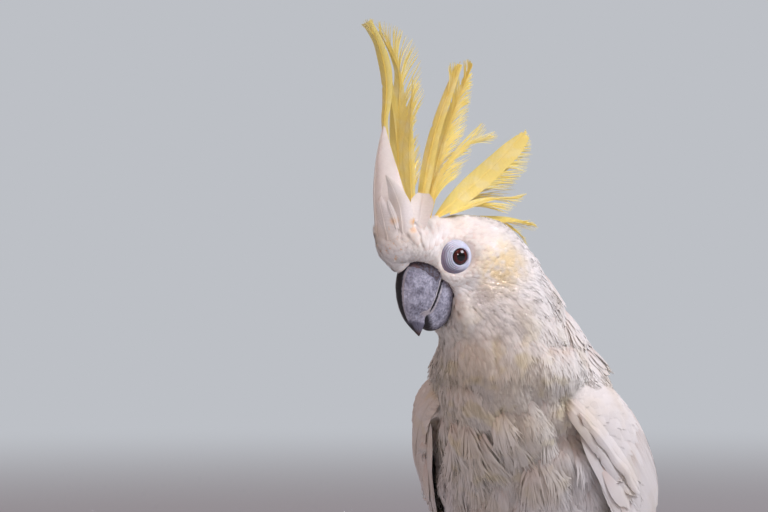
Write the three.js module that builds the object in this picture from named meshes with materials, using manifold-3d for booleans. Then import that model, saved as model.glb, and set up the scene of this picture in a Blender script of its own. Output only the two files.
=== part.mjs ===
// A sulphur-crested cockatoo standing on the floor with its crest raised and its head turned.
// Millimetres, +Z up. The bird's breast faces -Y and its left side is +X. The floor is Z = 0.
// Flesh and plumage are solids of the outer shape of the coat, and every piece keeps a thin gap to the next.

import * as THREE from 'three';
import { mergeVertices } from 'three/addons/utils/BufferGeometryUtils.js';
import Module from 'manifold-3d';

// ---------------------------------------------------------------- driving dimensions

const GAP = 0.3; // clearance between neighbouring solids
const DEG = Math.PI / 180;

// The head turns to the bird's right and looks a little down.
const HEAD_YAW = -35 * DEG;
const HEAD_PITCH = 13 * DEG;
const HEAD_AT = [-32, -82, 243.8]; // midway between the two eyes

const EYE_RADIUS = 7;
const EYE_SIDE = 14.2; // from the head's middle plane to the eyeball's centre
const EYE_BACK = 3.4; // behind the head's own origin
const EYE_DROP = 0.6;
const EYE_RING_RADIUS = 9.4; // bare skin round the eye
const EYE_RING_LEAD = 2.6; // the ring reaches this much further forward than back
const EYE_OPENING = 4.7; // radius of the opening between the lids
const LID_HEIGHT = 6.3; // the lid margin above the eyeball's centre
const RIM_HEIGHT = 2.4; // the outer edge of the ring above the eyeball's centre
const EYE_TURN = 15 * DEG; // each eye looks this far forward of straight sideways

const FOOT_SIDE = 25; // from the bird's middle plane to the middle of a foot
const FOOT_BACK = -17;
const ANKLE_HEIGHT = 33;

const FEATHER_EDGE = 0.3; // half thickness of a crest feather at its edge
const FEATHER_THICK = 1.6; // a crest feather along its shaft
const SIDES = [
  { side: 'left', sign: 1 },
  { side: 'right', sign: -1 },
];

// ---------------------------------------------------------------- materials

const paint = (color, roughness) => new THREE.MeshStandardMaterial({ color, roughness, metalness: 0 });
const MATERIALS = {
  plumage: paint('#f2efe9', 0.85),
  crest: paint('#f3dc62', 0.8),
  horn: paint('#4b4c50', 0.55),
  claw: paint('#2b2a2c', 0.4),
  scales: paint('#5a5655', 0.7),
  skin: paint('#ccd5e0', 0.6),
  eye: paint('#1d0d0b', 0.05),
};

// ---------------------------------------------------------------- solids

const wasm = await Module();
wasm.setup();

// A three.js geometry as a solid, with its faces turned outwards.
function solidOf(geometry) {
  const bare = geometry.clone();
  bare.deleteAttribute('normal');
  bare.deleteAttribute('uv');
  const merged = mergeVertices(bare, 1e-4);
  const position = merged.attributes.position;
  const corner = [0, 1, 2].map(() => new THREE.Vector3());
  const triangles = [];
  let volume = 0;
  for (let i = 0; i < merged.index.count; i += 3) {
    const [a, b, c] = [0, 1, 2].map((k) => merged.index.getX(i + k));
    if (a === b || b === c || a === c) continue;
    [a, b, c].forEach((v, k) => corner[k].fromBufferAttribute(position, v));
    volume += corner[0].dot(corner[1].clone().cross(corner[2]));
    triangles.push(a, b, c);
  }
  if (volume < 0) triangles.reverse();
  return new wasm.Manifold(new wasm.Mesh({
    numProp: 3,
    vertProperties: new Float32Array(position.array),
    triVerts: new Uint32Array(triangles),
  }));
}

function geometryOf(solid) {
  const mesh = solid.getMesh();
  const geometry = new THREE.BufferGeometry();
  geometry.setAttribute('position', new THREE.BufferAttribute(mesh.vertProperties, mesh.numProp));
  geometry.setIndex(new THREE.BufferAttribute(mesh.triVerts, 1));
  geometry.computeVertexNormals();
  return geometry;
}

// The largest body of a solid, without the crumbs that a cut leaves.
function largest(solid) {
  return solid.decompose().reduce((a, b) => (a.volume() > b.volume() ? a : b));
}

const join = (...solids) => solids.reduce((a, b) => a.add(b));
const cut = (solid, ...tools) => largest(tools.reduce((a, b) => a.subtract(b), solid));
const moved = (solid, matrix) => solid.transform(matrix.elements);

// Everything on the side of a plane that its normal points to, as a large block.
function halfSpace(at, normal, shift) {
  const reach = 600;
  const block = new THREE.BoxGeometry(reach, reach, reach).translate(0, 0, reach / 2 + shift);
  const up = new THREE.Vector3(0, 0, 1);
  const turn = new THREE.Quaternion().setFromUnitVectors(up, normal.clone().normalize());
  return moved(solidOf(block), new THREE.Matrix4().compose(at, turn, new THREE.Vector3(1, 1, 1)));
}

// ---------------------------------------------------------------- lofts

const point = (p) => new THREE.Vector3(...p);
const smooth = (points) => new THREE.CatmullRomCurve3(points.map(point), false, 'catmullrom', 0.5);

// A closed skin over rings of points, with a fan over each end.
function skinOver(rings) {
  const around = rings[0].length;
  const points = rings.flat();
  const triangles = [];
  for (let r = 0; r + 1 < rings.length; r++) {
    for (let i = 0; i < around; i++) {
      const [a, b] = [r * around + i, r * around + ((i + 1) % around)];
      triangles.push(a, b, b + around, a, b + around, a + around);
    }
  }
  for (const [ring, flipped] of [[0, true], [rings.length - 1, false]]) {
    const middle = points.length;
    points.push(rings[ring].reduce((sum, p) => sum.add(p), new THREE.Vector3()).divideScalar(around));
    for (let i = 0; i < around; i++) {
      const [a, b] = [ring * around + i, ring * around + ((i + 1) % around)];
      triangles.push(...(flipped ? [b, a, middle] : [a, b, middle]));
    }
  }
  const geometry = new THREE.BufferGeometry().setFromPoints(points);
  geometry.setIndex(triangles);
  return geometry;
}

// -1 at the first ring, 1 at the last and 0 between them.
const endSign = (ring, rings) => (ring === 0 ? -1 : Number(ring === rings - 1));

// A rounded body along a curve. Each key is [x, y, z, half width, front depth, back depth].
// Widths lie along `lateral`, and the front depth points along lateral x travel.
function body(keys, { rings, around, lateral = [1, 0, 0], grow = 0, shape = null }) {
  const path = smooth(keys.map((k) => k.slice(0, 3)));
  const sizes = smooth(keys.map((k) => k.slice(3, 6)));
  const wide = point(lateral);
  const made = [];
  for (let r = 0; r < rings; r++) {
    const t = r / (rings - 1);
    const travel = path.getTangent(t);
    const centre = path.getPoint(t).addScaledVector(travel, grow * endSign(r, rings));
    const front = wide.clone().cross(travel).normalize();
    const side = travel.clone().cross(front).normalize();
    const [w, f, b] = sizes.getPoint(t).toArray().map((x) => Math.max(x + grow, 0.2));
    const ring = [];
    for (let i = 0; i < around; i++) {
      const angle = (2 * Math.PI * i) / around;
      const depth = Math.sin(angle) > 0 ? f : b;
      const p = centre.clone()
        .addScaledVector(side, w * Math.cos(angle))
        .addScaledVector(front, depth * Math.sin(angle));
      ring.push(shape ? shape(p, t, angle) : p);
    }
    made.push(ring);
  }
  return skinOver(made);
}

// A vane along a curve: thin at both edges and thicker along its shaft, with its face turned about it by
// `roll`. widths lists the half widths from root to tip, and cup is how deep it is hollowed, as a share.
function vane({ path, widths, thick, roll, cup, lateral, grow, rings = 7 }) {
  const line = smooth(path);
  const width = smooth(widths.map((w) => [w, 0, 0]));
  const edge = FEATHER_EDGE + grow;
  const made = [];
  for (let r = 0; r < rings; r++) {
    const t = r / (rings - 1);
    const travel = line.getTangent(t);
    const centre = line.getPoint(t).addScaledVector(travel, grow * endSign(r, rings));
    const face = point(lateral).cross(travel).normalize().applyAxisAngle(travel, roll);
    const side = travel.clone().cross(face).normalize();
    const w = Math.max(width.getPoint(t).x, 0.5);
    const shaft = THREE.MathUtils.lerp(thick / 2, FEATHER_EDGE, t) + grow;
    const at = (x, y) => centre.clone()
      .addScaledVector(side, x * (w + grow))
      .addScaledVector(face, y + cup * w * x * x);
    made.push([at(1, -edge), at(1, edge), at(0, shaft), at(-1, edge), at(-1, -edge), at(0, -shaft)]);
  }
  return skinOver(made);
}

// ---------------------------------------------------------------- head frame

const headFrame = new THREE.Matrix4().compose(
  point(HEAD_AT),
  new THREE.Quaternion().setFromEuler(new THREE.Euler(HEAD_PITCH, 0, HEAD_YAW, 'ZXY')),
  new THREE.Vector3(1, 1, 1),
);
const toHead = headFrame.clone().invert();

// A place in the head's own frame from how far it is forward of the eyes, above them, and to the left.
const inHead = (forward, up, left = 0) => [left, -forward, up];

// ---------------------------------------------------------------- trunk, neck and head

// From the root of the tail up the trunk and neck into the back of the head.
const TRUNK = [
  [0, 116, 59, 8, 4, 4],
  [0, 97, 65, 23, 15, 10],
  [0, 69, 77, 41, 38, 21],
  [0, 41, 96, 53, 57, 31],
  [0, 13, 120, 59, 62, 38],
  [0, -13, 146, 58, 54, 42],
  [-1, -33, 171, 51, 48, 41],
  [-3, -44, 194, 41, 41, 37],
  [-7, -50, 215, 35, 34, 33],
  [-12, -55, 233, 31, 28, 30],
  [-18, -61, 248, 24, 20, 22],
  [-21, -64, 255, 10, 8, 9],
];

// From the nape forward to the root of the bill. The width lies across the head, the front depth below it.
const HEAD = [
  [...inHead(-50, -9), 8, 10, 8],
  [...inHead(-43, -7), 20, 23, 18],
  [...inHead(-31, -5), 25.5, 29, 24],
  [...inHead(-17, -3), 26, 30, 29],
  [...inHead(-4, 0), 21.5, 25, 26.5],
  [...inHead(7, 5), 18.5, 14, 21.5],
  [...inHead(15, 8), 16, 9.5, 17.5],
  [...inHead(22, 9.5), 13.5, 8, 14],
  [...inHead(28, 10), 10.5, 7.5, 10],
  [...inHead(31.8, 10.5), 4.5, 4, 5],
];

// Loose feathers of the chin and cheeks, hanging beside and behind the bill.
const CHEEK = [
  [...inHead(-3, -10), 12, 7, 13],
  [...inHead(-2, -16), 15, 6.5, 14],
  [...inHead(-5, -27), 18, 8, 18],
  [...inHead(-6, -40), 17.5, 12.5, 20],
  [...inHead(-9, -51), 14.5, 12.5, 17],
  [...inHead(-15, -61), 7, 7, 8],
];

function flesh(grow) {
  const trunk = solidOf(body(TRUNK, { rings: 16, around: 16, grow }));
  const skull = solidOf(body(HEAD, { rings: 12, around: 14, grow }));
  const cheek = solidOf(body(CHEEK, { rings: 6, around: 8, lateral: [-1, 0, 0], grow }));
  return join(trunk, moved(skull, headFrame), moved(cheek, headFrame));
}

const whole = flesh(0);
const wholeGrown = flesh(GAP);

// The head parts from the neck on a slope from the nape to the throat, and the neck from the trunk above
// the shoulders.
const HEAD_CUT = {
  at: point(inHead(-20, -30)).applyMatrix4(headFrame),
  up: point(inHead(0.66, 0.75)).transformDirection(headFrame),
};
const NECK_CUT = { at: new THREE.Vector3(0, -33, 185), up: new THREE.Vector3(-0.02, -0.42, 0.9) };

const above = (plane, shift = GAP / 2) => halfSpace(plane.at, plane.up, shift);
const below = (plane, shift = GAP / 2) => halfSpace(plane.at, plane.up.clone().negate(), shift);

// ---------------------------------------------------------------- bill

// Middle-plane outlines in the head's frame: the ridge line and the cutting edge from the root to the tip.
const UPPER_RIDGE = smooth([
  inHead(13, 3), inHead(20.5, 1.8), inHead(26.5, -1.2), inHead(30.2, -7.5), inHead(31.8, -15.5),
  inHead(31.6, -23), inHead(29.9, -29.8), inHead(27, -35.4), inHead(22.9, -41.2),
]);
const UPPER_EDGE = smooth([
  inHead(4, -6), inHead(8.5, -12), inHead(11.5, -17.5), inHead(14.5, -22.5), inHead(18, -26.8),
  inHead(22.3, -27.8), inHead(24.3, -31), inHead(23.8, -35.5), inHead(22.4, -41),
]);
const UPPER_WIDTH = smooth([11, 11, 10.6, 9.8, 8.4, 6.2, 4.4, 2.6, 0.5].map((w) => [w, 0, 0]));

const LOWER_EDGE = smooth([
  inHead(2, -10), inHead(8, -13.5), inHead(13, -18), inHead(17, -22.6), inHead(20, -26.4),
  inHead(23, -29.6),
]);
const LOWER_KEEL = smooth([
  inHead(-4, -22), inHead(-2, -31), inHead(3, -37.2), inHead(9.5, -40.4), inHead(16.5, -39.6),
  inHead(22.4, -34),
]);
const LOWER_WIDTH = smooth([10.6, 10.8, 10.2, 8.8, 7, 3.6].map((w) => [w, 0, 0]));

// A horn arched from a cutting edge over a ridge. sharp below 1 rounds the ridge, above 1 pinches it.
function mandible(edge, ridge, widths, { rings, around, sharp, grow = 0 }) {
  const made = [];
  for (let r = 0; r < rings; r++) {
    const t = r / (rings - 1);
    const low = edge.getPoint(t);
    const rise = ridge.getPoint(t).sub(low);
    const reach = rise.length();
    rise.setLength(1);
    const w = Math.max(widths.getPoint(t).x, 0.3) + grow;
    const ring = [];
    for (let i = 0; i <= around; i++) {
      const angle = (Math.PI * i) / around;
      const height = Math.sin(angle) ** sharp * (reach + grow) - grow * Math.abs(Math.cos(angle));
      ring.push(low.clone()
        .addScaledVector(new THREE.Vector3(1, 0, 0), w * Math.cos(angle) * (1 - 0.12 * Math.sin(angle)))
        .addScaledVector(rise, height));
    }
    ring.push(low.clone().addScaledVector(rise, 0.12 * reach - grow));
    made.push(ring);
  }
  return skinOver(made);
}

function upperBill(grow) {
  const fineness = { rings: 11, around: 8, sharp: 0.8, grow };
  return solidOf(mandible(UPPER_EDGE, UPPER_RIDGE, UPPER_WIDTH, fineness));
}

function lowerBill(grow) {
  const fineness = { rings: 8, around: 7, sharp: 0.62, grow };
  return solidOf(mandible(LOWER_EDGE, LOWER_KEEL, LOWER_WIDTH, fineness));
}

// ---------------------------------------------------------------- eyes

// Where an eye sits in the head's frame: +Z of its own frame looks out of the head, and +Y up.
function eyeFrame(sign) {
  const out = new THREE.Vector3(sign * Math.cos(EYE_TURN), -Math.sin(EYE_TURN), 0);
  const up = new THREE.Vector3(0, 0, 1);
  const frame = new THREE.Matrix4().makeBasis(up.clone().cross(out), up, out);
  return frame.setPosition(point(inHead(-EYE_BACK, -EYE_DROP, sign * EYE_SIDE)));
}

function eyeball(sign, grow) {
  return moved(solidOf(new THREE.SphereGeometry(EYE_RADIUS + grow, 12, 8)), eyeFrame(sign));
}

// Spins a profile of [radius, height] pairs about the eye's axis, leaning it forward towards its base.
function aroundEye(sign, profile) {
  const outline = profile.map(([r, z]) => new THREE.Vector2(r, z));
  const ring = new THREE.LatheGeometry(outline, 12).rotateX(Math.PI / 2);
  const place = ring.attributes.position;
  for (let i = 0; i < place.count; i++) {
    const lead = EYE_RING_LEAD * Math.max(1 - place.getZ(i) / LID_HEIGHT, 0);
    place.setX(i, place.getX(i) - sign * lead);
  }
  return moved(solidOf(ring), eyeFrame(sign));
}

// The bare ring with the lids: a low cone that rises to the lid margin.
function eyeRing(sign, grow) {
  const rim = EYE_RING_RADIUS + grow;
  const inner = EYE_OPENING - 1.4;
  const bed = RIM_HEIGHT - 2;
  return aroundEye(sign, [
    [inner, bed + 1.6 - grow],
    [rim - 2.5, bed - grow],
    [rim, RIM_HEIGHT],
    [EYE_OPENING + 1.6, LID_HEIGHT - 0.3 + grow],
    [EYE_OPENING, LID_HEIGHT + grow],
    [inner, bed + 1.6 - grow],
  ]);
}

// The shallow pit in the plumage that leaves the ring open to the outside.
function eyePit(sign) {
  const floor = RIM_HEIGHT - 0.8;
  const mouth = RIM_HEIGHT + 11.6;
  const radius = EYE_RING_RADIUS + GAP;
  return aroundEye(sign, [[0, floor], [radius, floor], [radius + 5, mouth], [0, mouth]]);
}

// ---------------------------------------------------------------- wings

// Each station of a folded wing, shoulder to tip: its back edge, its lower edge, how far it stands out
// between them, and its thickness.
const WING = [
  { back: [34, -46, 174], low: [35, -56, 164], bulge: 5, thick: 7 },
  { back: [34, -28, 179], low: [43, -60, 153], bulge: 11, thick: 10 },
  { back: [32, 0, 172], low: [51, -49, 136], bulge: 20, thick: 11 },
  { back: [27, 27, 155], low: [60, -24, 109], bulge: 25, thick: 10 },
  { back: [21, 54, 130], low: [63, 8, 83], bulge: 25, thick: 8 },
  { back: [15, 82, 102], low: [53, 43, 64], bulge: 19, thick: 6 },
  { back: [10, 108, 79], low: [37, 78, 53], bulge: 11, thick: 4.5 },
  { back: [8, 132, 63], low: [27, 110, 45], bulge: 7, thick: 3.4 },
  { back: [9, 158, 49], low: [20, 144, 38], bulge: 3.5, thick: 2.4 },
  { back: [12, 186, 36], low: [15, 180, 32], bulge: 1, thick: 1.6 },
];
const WING_HELD_OUT = { left: -2, right: 6 }; // the right wing stands further off the trunk

function wing({ side, sign }) {
  const steps = 15;
  const across = 5;
  const mirror = ([x, y, z]) => [sign * x, y, z];
  const back = smooth(WING.map((w) => mirror(w.back)));
  const low = smooth(WING.map((w) => mirror(w.low)));
  const sizes = smooth(WING.map((w) => [w.bulge, w.thick, 0]));
  const made = [];
  for (let s = 0; s < steps; s++) {
    const t = s / (steps - 1);
    const [a, b] = [back.getPoint(t), low.getPoint(t)];
    const size = sizes.getPoint(t);
    const along = back.getTangent(t).add(low.getTangent(t)).normalize();
    const out = along.clone().cross(b.clone().sub(a)).normalize().multiplyScalar(-sign);
    const bulge = size.x + WING_HELD_OUT[side] * Math.sin(Math.PI * t);
    const outer = [];
    const inner = [];
    for (let i = 0; i <= across; i++) {
      const v = i / across;
      const arch = 4 * v * (1 - v);
      const p = a.clone().lerp(b, v).addScaledVector(out, bulge * arch);
      outer.push(p);
      inner.unshift(p.clone().addScaledVector(out, -Math.max(0.7, size.y * (0.25 + 0.75 * arch))));
    }
    made.push([...outer, ...inner]);
  }
  return solidOf(skinOver(made));
}

// The primaries show behind this plane; before it lie the arm, its coverts and the secondaries.
const WING_CUT = { at: new THREE.Vector3(0, 86, 66), up: new THREE.Vector3(0, 0.86, -0.5) };

// ---------------------------------------------------------------- tail

const TAIL = [
  [0, 92, 67, 20, 4, 5],
  [0, 120, 54.5, 24, 3.4, 4],
  [0, 150, 40.5, 27, 2.8, 3],
  [0, 180, 26.5, 30, 2.2, 2.4],
  [0, 206, 14, 31.5, 1.8, 1.8],
  [0, 222, 6.5, 30, 1.5, 1.4],
  [0, 235, 2.2, 24, 1.2, 1.0],
  [0, 242, 1.5, 12, 0.9, 0.7],
];
const TAIL_ROOF = 5; // how far the tail's sides droop below its middle line

function tail(grow) {
  const droop = (p, t) => {
    const flat = THREE.MathUtils.smoothstep(t, 0.55, 0.85);
    p.z -= TAIL_ROOF * (1 - flat) * (p.x / 30) ** 2;
    p.z = Math.max(p.z, 0);
    return p;
  };
  return solidOf(body(TAIL, { rings: 11, around: 12, grow, shape: droop, lateral: [-1, 0, 0] }));
}

// ---------------------------------------------------------------- legs and feet

const onFloor = (p) => {
  p.z = Math.max(p.z, 0);
  return p;
};

function thigh(sign, grow) {
  const keys = [
    [sign * 24, 10, 108, 14, 18, 16],
    [sign * 27, 7, 90, 25, 31, 27],
    [sign * 28, 3, 73, 25, 30, 26],
    [sign * 27, 0, 58, 19, 23, 20],
    [sign * 26, -2, 45, 12.5, 15, 14],
    [sign * 25.2, -3, 36, 8, 9, 9],
    [sign * 25, -3, 31, 5.5, 6, 6],
  ];
  return solidOf(body(keys, { rings: 8, around: 12, grow }));
}

// The scaly shank and the pad that the toes grow from.
function shank(sign, grow) {
  const x = sign * FOOT_SIDE;
  const keys = [
    [x, -2, ANKLE_HEIGHT + 6, 4.2, 4.2, 4.2],
    [x, -3, ANKLE_HEIGHT - 2, 5, 5, 5],
    [x, -8, 23, 4.3, 4.6, 4.6],
    [x, -13, 14, 4.8, 5.2, 5.6],
    [x, -16, 7.5, 7, 7.4, 7],
    [x, -17, 2.5, 6.8, 7, 6.6],
    [x, -17, 0.2, 4.6, 5, 4.6],
  ];
  return solidOf(body(keys, { rings: 9, around: 8, grow, shape: onFloor, lateral: [-1, 0, 0] }));
}

// Two toes point forward and two back. Turn is the angle outwards from straight ahead.
const TOES = [
  { name: 'front_inner', turn: -8, length: 24, radius: 3.9, claw: 11 },
  { name: 'front_outer', turn: 17, length: 33, radius: 4.1, claw: 12 },
  { name: 'back_outer', turn: 143, length: 28, radius: 4.0, claw: 11.5 },
  { name: 'back_inner', turn: 196, length: 17, radius: 3.7, claw: 10 },
];
const TOE_SINK = 0.66; // a toe's middle above the floor, as a share of its radius, which flattens its pads
const TOE_TIP = 0.55; // radius at the root of the claw, as a share of the toe's

function toeLine(sign, turn) {
  const angle = turn * DEG;
  return new THREE.Vector3(sign * Math.sin(angle), -Math.cos(angle), 0);
}

function toe(sign, { turn, length, radius }, grow) {
  const ahead = toeLine(sign, turn);
  const from = new THREE.Vector3(sign * FOOT_SIDE, FOOT_BACK, 0);
  const joints = 5;
  const keys = [];
  for (let k = 0; k < joints; k++) {
    const u = k / joints;
    const r = radius * (1.12 - 0.3 * u) * (k % 2 ? 0.93 : 1.04);
    const place = from.clone().addScaledVector(ahead, length * u).setZ(r * TOE_SINK);
    keys.push([...place.toArray(), r, r, r]);
  }
  const r = radius * TOE_TIP;
  const tip = from.clone().addScaledVector(ahead, length).setZ(radius * CLAW_RISE * 0.85);
  keys.push([...tip.toArray(), r, r, r]);
  const across = ahead.clone().cross(new THREE.Vector3(0, 0, 1));
  const fineness = { rings: joints + 1, around: 8 };
  return solidOf(body(keys, { ...fineness, lateral: across.toArray(), shape: onFloor, grow }));
}

// Along a claw: how far out, how high and how thick it is, as shares of its reach, its arch and the toe's
// radius.
const CLAW = [[0, 1.0, 0.6], [0.3, 1.22, 0.54], [0.58, 1.14, 0.42], [0.82, 0.72, 0.26], [1, 0.24, 0.09]];
const CLAW_RISE = 0.78; // the claw's root above the floor, as a share of the toe's radius

// A claw leaves the toe's end, arches over and comes down to the floor.
function claw(sign, { turn, length, radius, claw: reach }) {
  const ahead = toeLine(sign, turn);
  const root = new THREE.Vector3(sign * FOOT_SIDE, FOOT_BACK, 0).addScaledVector(ahead, length - GAP);
  const tall = radius * CLAW_RISE;
  const keys = CLAW.map(([u, z, r]) => {
    const place = root.clone().addScaledVector(ahead, reach * u).setZ(tall * z);
    return [...place.toArray(), radius * r, radius * r * 1.15, radius * r * 1.15];
  });
  const across = ahead.clone().cross(new THREE.Vector3(0, 0, 1));
  return solidOf(body(keys, { rings: 5, around: 5, lateral: across.toArray(), shape: onFloor }));
}

// ---------------------------------------------------------------- crest

// Half widths along a feather from root to tip, as shares of its greatest half width.
const SLENDER = [0.5, 0.85, 1, 1, 0.92, 0.6];
const BROAD = [0.4, 0.7, 0.95, 1, 0.8, 0.3];
const SPOON = [0.6, 0.95, 1, 0.92, 0.66, 0.12];
const ROUND = [0.6, 0.85, 1, 1, 0.9, 0.5];

// The raised crest, front to back. root and tip are [forward, up] in the head's frame, and left is how far
// off its middle plane. bow is how far the feather bends forward halfway, curl how far its tip turns
// forward, half its greatest half width, and roll the turn of its face towards the side.
const CREST = {
  white_front: { root: [29, 12], tip: [20, 80], left: 0, half: 12, bow: 7, form: SPOON, cup: 0.85, thick: 7 },
  white_side: { root: [19, 14], tip: [9, 38.5], left: 11.5, half: 6, form: ROUND, roll: 45, thick: 2 },
  front_long: { root: [21, 16], tip: [7, 139], left: 0.5, half: 4.6, bow: 2, curl: 12.5, roll: 45 },
  front_second: {
    root: [17, 19], tip: [-5, 129], left: -2.5, half: 6, bow: 2, curl: 4, form: BROAD, roll: -35,
  },
  front_third: { root: [18, 20], tip: [-4, 112], left: 5.5, half: 4.2, bow: 3, form: BROAD, roll: 40 },
  middle_long: { root: [9, 22], tip: [-39, 104], left: 2, half: 4.2, bow: 5, roll: 40 },
  middle_second: { root: [3, 23], tip: [-48, 102], left: -3, half: 6.5, bow: 4, roll: -35 },
  middle_third: { root: [4, 23.5], tip: [-49, 58], left: 6, half: 5, bow: 12, form: BROAD, roll: 40 },
  back_long: { root: [-3, 23], tip: [-75, 56], left: 3, half: 9.5, bow: -1.5, form: BROAD, roll: 50 },
  back_second: { root: [-7, 23], tip: [-76, 42], left: -4, half: 8, bow: -2, form: BROAD, roll: -45 },
  back_third: { root: [-11, 22.5], tip: [-58, 20], left: 6.5, half: 4.5, bow: 5, form: BROAD, roll: 40 },
  nape_long: { root: [-22, 20], tip: [-71, -1], left: 2, half: 2.4, bow: 3.5, roll: 30 },
  nape_second: { root: [-27, 17.5], tip: [-64, -5], left: -3.5, half: 4, bow: 5, form: BROAD, roll: -20 },
};

function crestFeather(feather, grow = 0) {
  const { root, tip, left, half, bow = 0, curl = 0, form = SLENDER, roll = 0, cup = 0.3 } = feather;
  const rise = new THREE.Vector2(tip[0] - root[0], tip[1] - root[1]);
  const ahead = new THREE.Vector2(rise.y, -rise.x).normalize();
  const path = [0, 0.2, 0.4, 0.6, 0.8, 0.9, 1].map((t) => {
    const shift = bow * Math.sin(Math.PI * t) + curl * t ** 7;
    return inHead(root[0] + rise.x * t + ahead.x * shift, root[1] + rise.y * t + ahead.y * shift, left);
  });
  const widths = form.map((w) => half * w);
  const thick = feather.thick ?? FEATHER_THICK;
  return solidOf(vane({ path, widths, thick, roll: roll * DEG, cup, lateral: [-1, 0, 0], grow }));
}

// ---------------------------------------------------------------- the bird

const bird = new THREE.Group();
const head = new THREE.Group();
head.applyMatrix4(headFrame);
bird.add(head);

function place(parent, name, solid, material) {
  const mesh = new THREE.Mesh(geometryOf(solid), MATERIALS[material]);
  mesh.name = name;
  parent.add(mesh);
}

const bill = join(upperBill(GAP), lowerBill(GAP));
place(head, 'bill_upper', largest(upperBill(0)), 'horn');
place(head, 'bill_lower', cut(lowerBill(0), upperBill(GAP)), 'horn');

const eyeTools = [];
for (const { side, sign } of SIDES) {
  eyeTools.push(eyeball(sign, GAP), eyeRing(sign, GAP), eyePit(sign));
  place(head, `eye_${side}`, eyeball(sign, 0), 'eye');
  place(head, `eye_ring_${side}`, cut(eyeRing(sign, 0), eyeball(sign, GAP)), 'skin');
}

const headSolid = cut(moved(whole.intersect(above(HEAD_CUT)), toHead), bill, ...eyeTools);
place(head, 'head', headSolid, 'plumage');
const neck = whole.intersect(below(HEAD_CUT)).intersect(above(NECK_CUT));
place(bird, 'neck', cut(neck, moved(bill, headFrame)), 'plumage');

// Each crest feather is cut by the head and by the feathers placed before it.
let placedCrest = moved(wholeGrown, toHead);
for (const [name, feather] of Object.entries(CREST)) {
  const colour = name.startsWith('white') ? 'plumage' : 'crest';
  place(head, `crest_${name}`, cut(crestFeather(feather), placedCrest), colour);
  placedCrest = placedCrest.add(crestFeather(feather, GAP));
}

const thighs = join(...SIDES.map(({ sign }) => thigh(sign, GAP)));
place(bird, 'trunk', cut(whole.intersect(below(NECK_CUT)), tail(GAP), thighs), 'plumage');
place(bird, 'tail', largest(tail(0)), 'plumage');

for (const { side, sign } of SIDES) {
  const folded = wing({ side, sign }).subtract(wholeGrown).subtract(tail(GAP)).subtract(thigh(sign, GAP));
  place(bird, `wing_${side}`, largest(folded.intersect(below(WING_CUT))), 'plumage');
  place(bird, `primaries_${side}`, largest(folded.intersect(above(WING_CUT))), 'plumage');

  place(bird, `thigh_${side}`, cut(thigh(sign, 0), shank(sign, GAP)), 'plumage');
  place(bird, `shank_${side}`, shank(sign, 0), 'scales');
  let placedFoot = shank(sign, GAP);
  for (const spec of TOES) {
    place(bird, `toe_${side}_${spec.name}`, cut(toe(sign, spec, 0), placedFoot), 'scales');
    place(bird, `claw_${side}_${spec.name}`, cut(claw(sign, spec), toe(sign, spec, GAP)), 'claw');
    placedFoot = placedFoot.add(toe(sign, spec, GAP));
  }
}

// The origin is the middle of the footprint of the whole bird, on the floor.
const bounds = new THREE.Box3().setFromObject(bird, true);
bird.position.set(-(bounds.min.x + bounds.max.x) / 2, -(bounds.min.y + bounds.max.y) / 2, -bounds.min.z);

export default bird;
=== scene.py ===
"""A standing sulphur-crested cockatoo: skin, plumage, crest, eyes, bill and feet round its solids."""

import functools
import math

import bmesh
import bpy
import numpy as np
from bpy.props import FloatProperty, FloatVectorProperty, IntProperty, PointerProperty
from mathutils import Matrix, Vector
from mathutils.bvhtree import BVHTree
from mathutils.kdtree import KDTree


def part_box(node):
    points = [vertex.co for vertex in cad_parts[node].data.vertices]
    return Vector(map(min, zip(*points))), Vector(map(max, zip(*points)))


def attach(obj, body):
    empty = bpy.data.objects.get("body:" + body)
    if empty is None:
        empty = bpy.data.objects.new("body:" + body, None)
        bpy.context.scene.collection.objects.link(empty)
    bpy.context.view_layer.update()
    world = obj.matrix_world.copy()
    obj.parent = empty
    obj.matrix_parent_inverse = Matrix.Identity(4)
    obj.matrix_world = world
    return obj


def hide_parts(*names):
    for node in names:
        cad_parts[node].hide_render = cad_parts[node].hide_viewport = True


bl_info = {
    "name": "Standing cockatoo",
    "version": (1, 0, 0),
    "blender": (4, 5, 0),
    "location": "3D View > Sidebar > Cockatoo",
    "description": "Builds a life-size cockatoo's plumage, crest, bill, eyes and feet round its solids",
    "category": "Add Mesh",
}

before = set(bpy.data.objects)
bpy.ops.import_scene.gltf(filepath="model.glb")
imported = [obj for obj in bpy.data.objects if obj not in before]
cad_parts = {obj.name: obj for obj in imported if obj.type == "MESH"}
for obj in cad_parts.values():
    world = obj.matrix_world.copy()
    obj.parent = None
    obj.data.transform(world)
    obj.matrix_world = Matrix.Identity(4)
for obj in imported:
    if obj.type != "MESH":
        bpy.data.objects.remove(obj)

# ---------------------------------------------------------------- places

MM = 0.001
SIDES = (("left", 1), ("right", -1))

HEAD_AT = (-32, -82, 243.8)  # the head's own origin, left, back and up from the bird's, which is on the floor
HEAD_PITCH = math.radians(13)
EYE_SIDE = 14.2  # from the head's middle plane to the eyeball's centre
EYE_BACK, EYE_DROP = 3.4, 0.6  # how far it is behind and below the head's origin
EYE_TURN = math.radians(15)  # each eye looks this far forward of straight sideways
EYE_RADIUS = 7
EYE_RING = 9.4  # radius of the bare skin round the eye
EYE_RING_LEAD = 2.6  # the ring's foot reaches this much further forward than its rim
FOOT_SIDE, FOOT_BACK = 25, -17  # where a foot's toes meet, left and back from the bird's origin


def middle(node):
    """The middle of a node's box."""
    low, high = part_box(node)
    return (low + high) / 2


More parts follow.
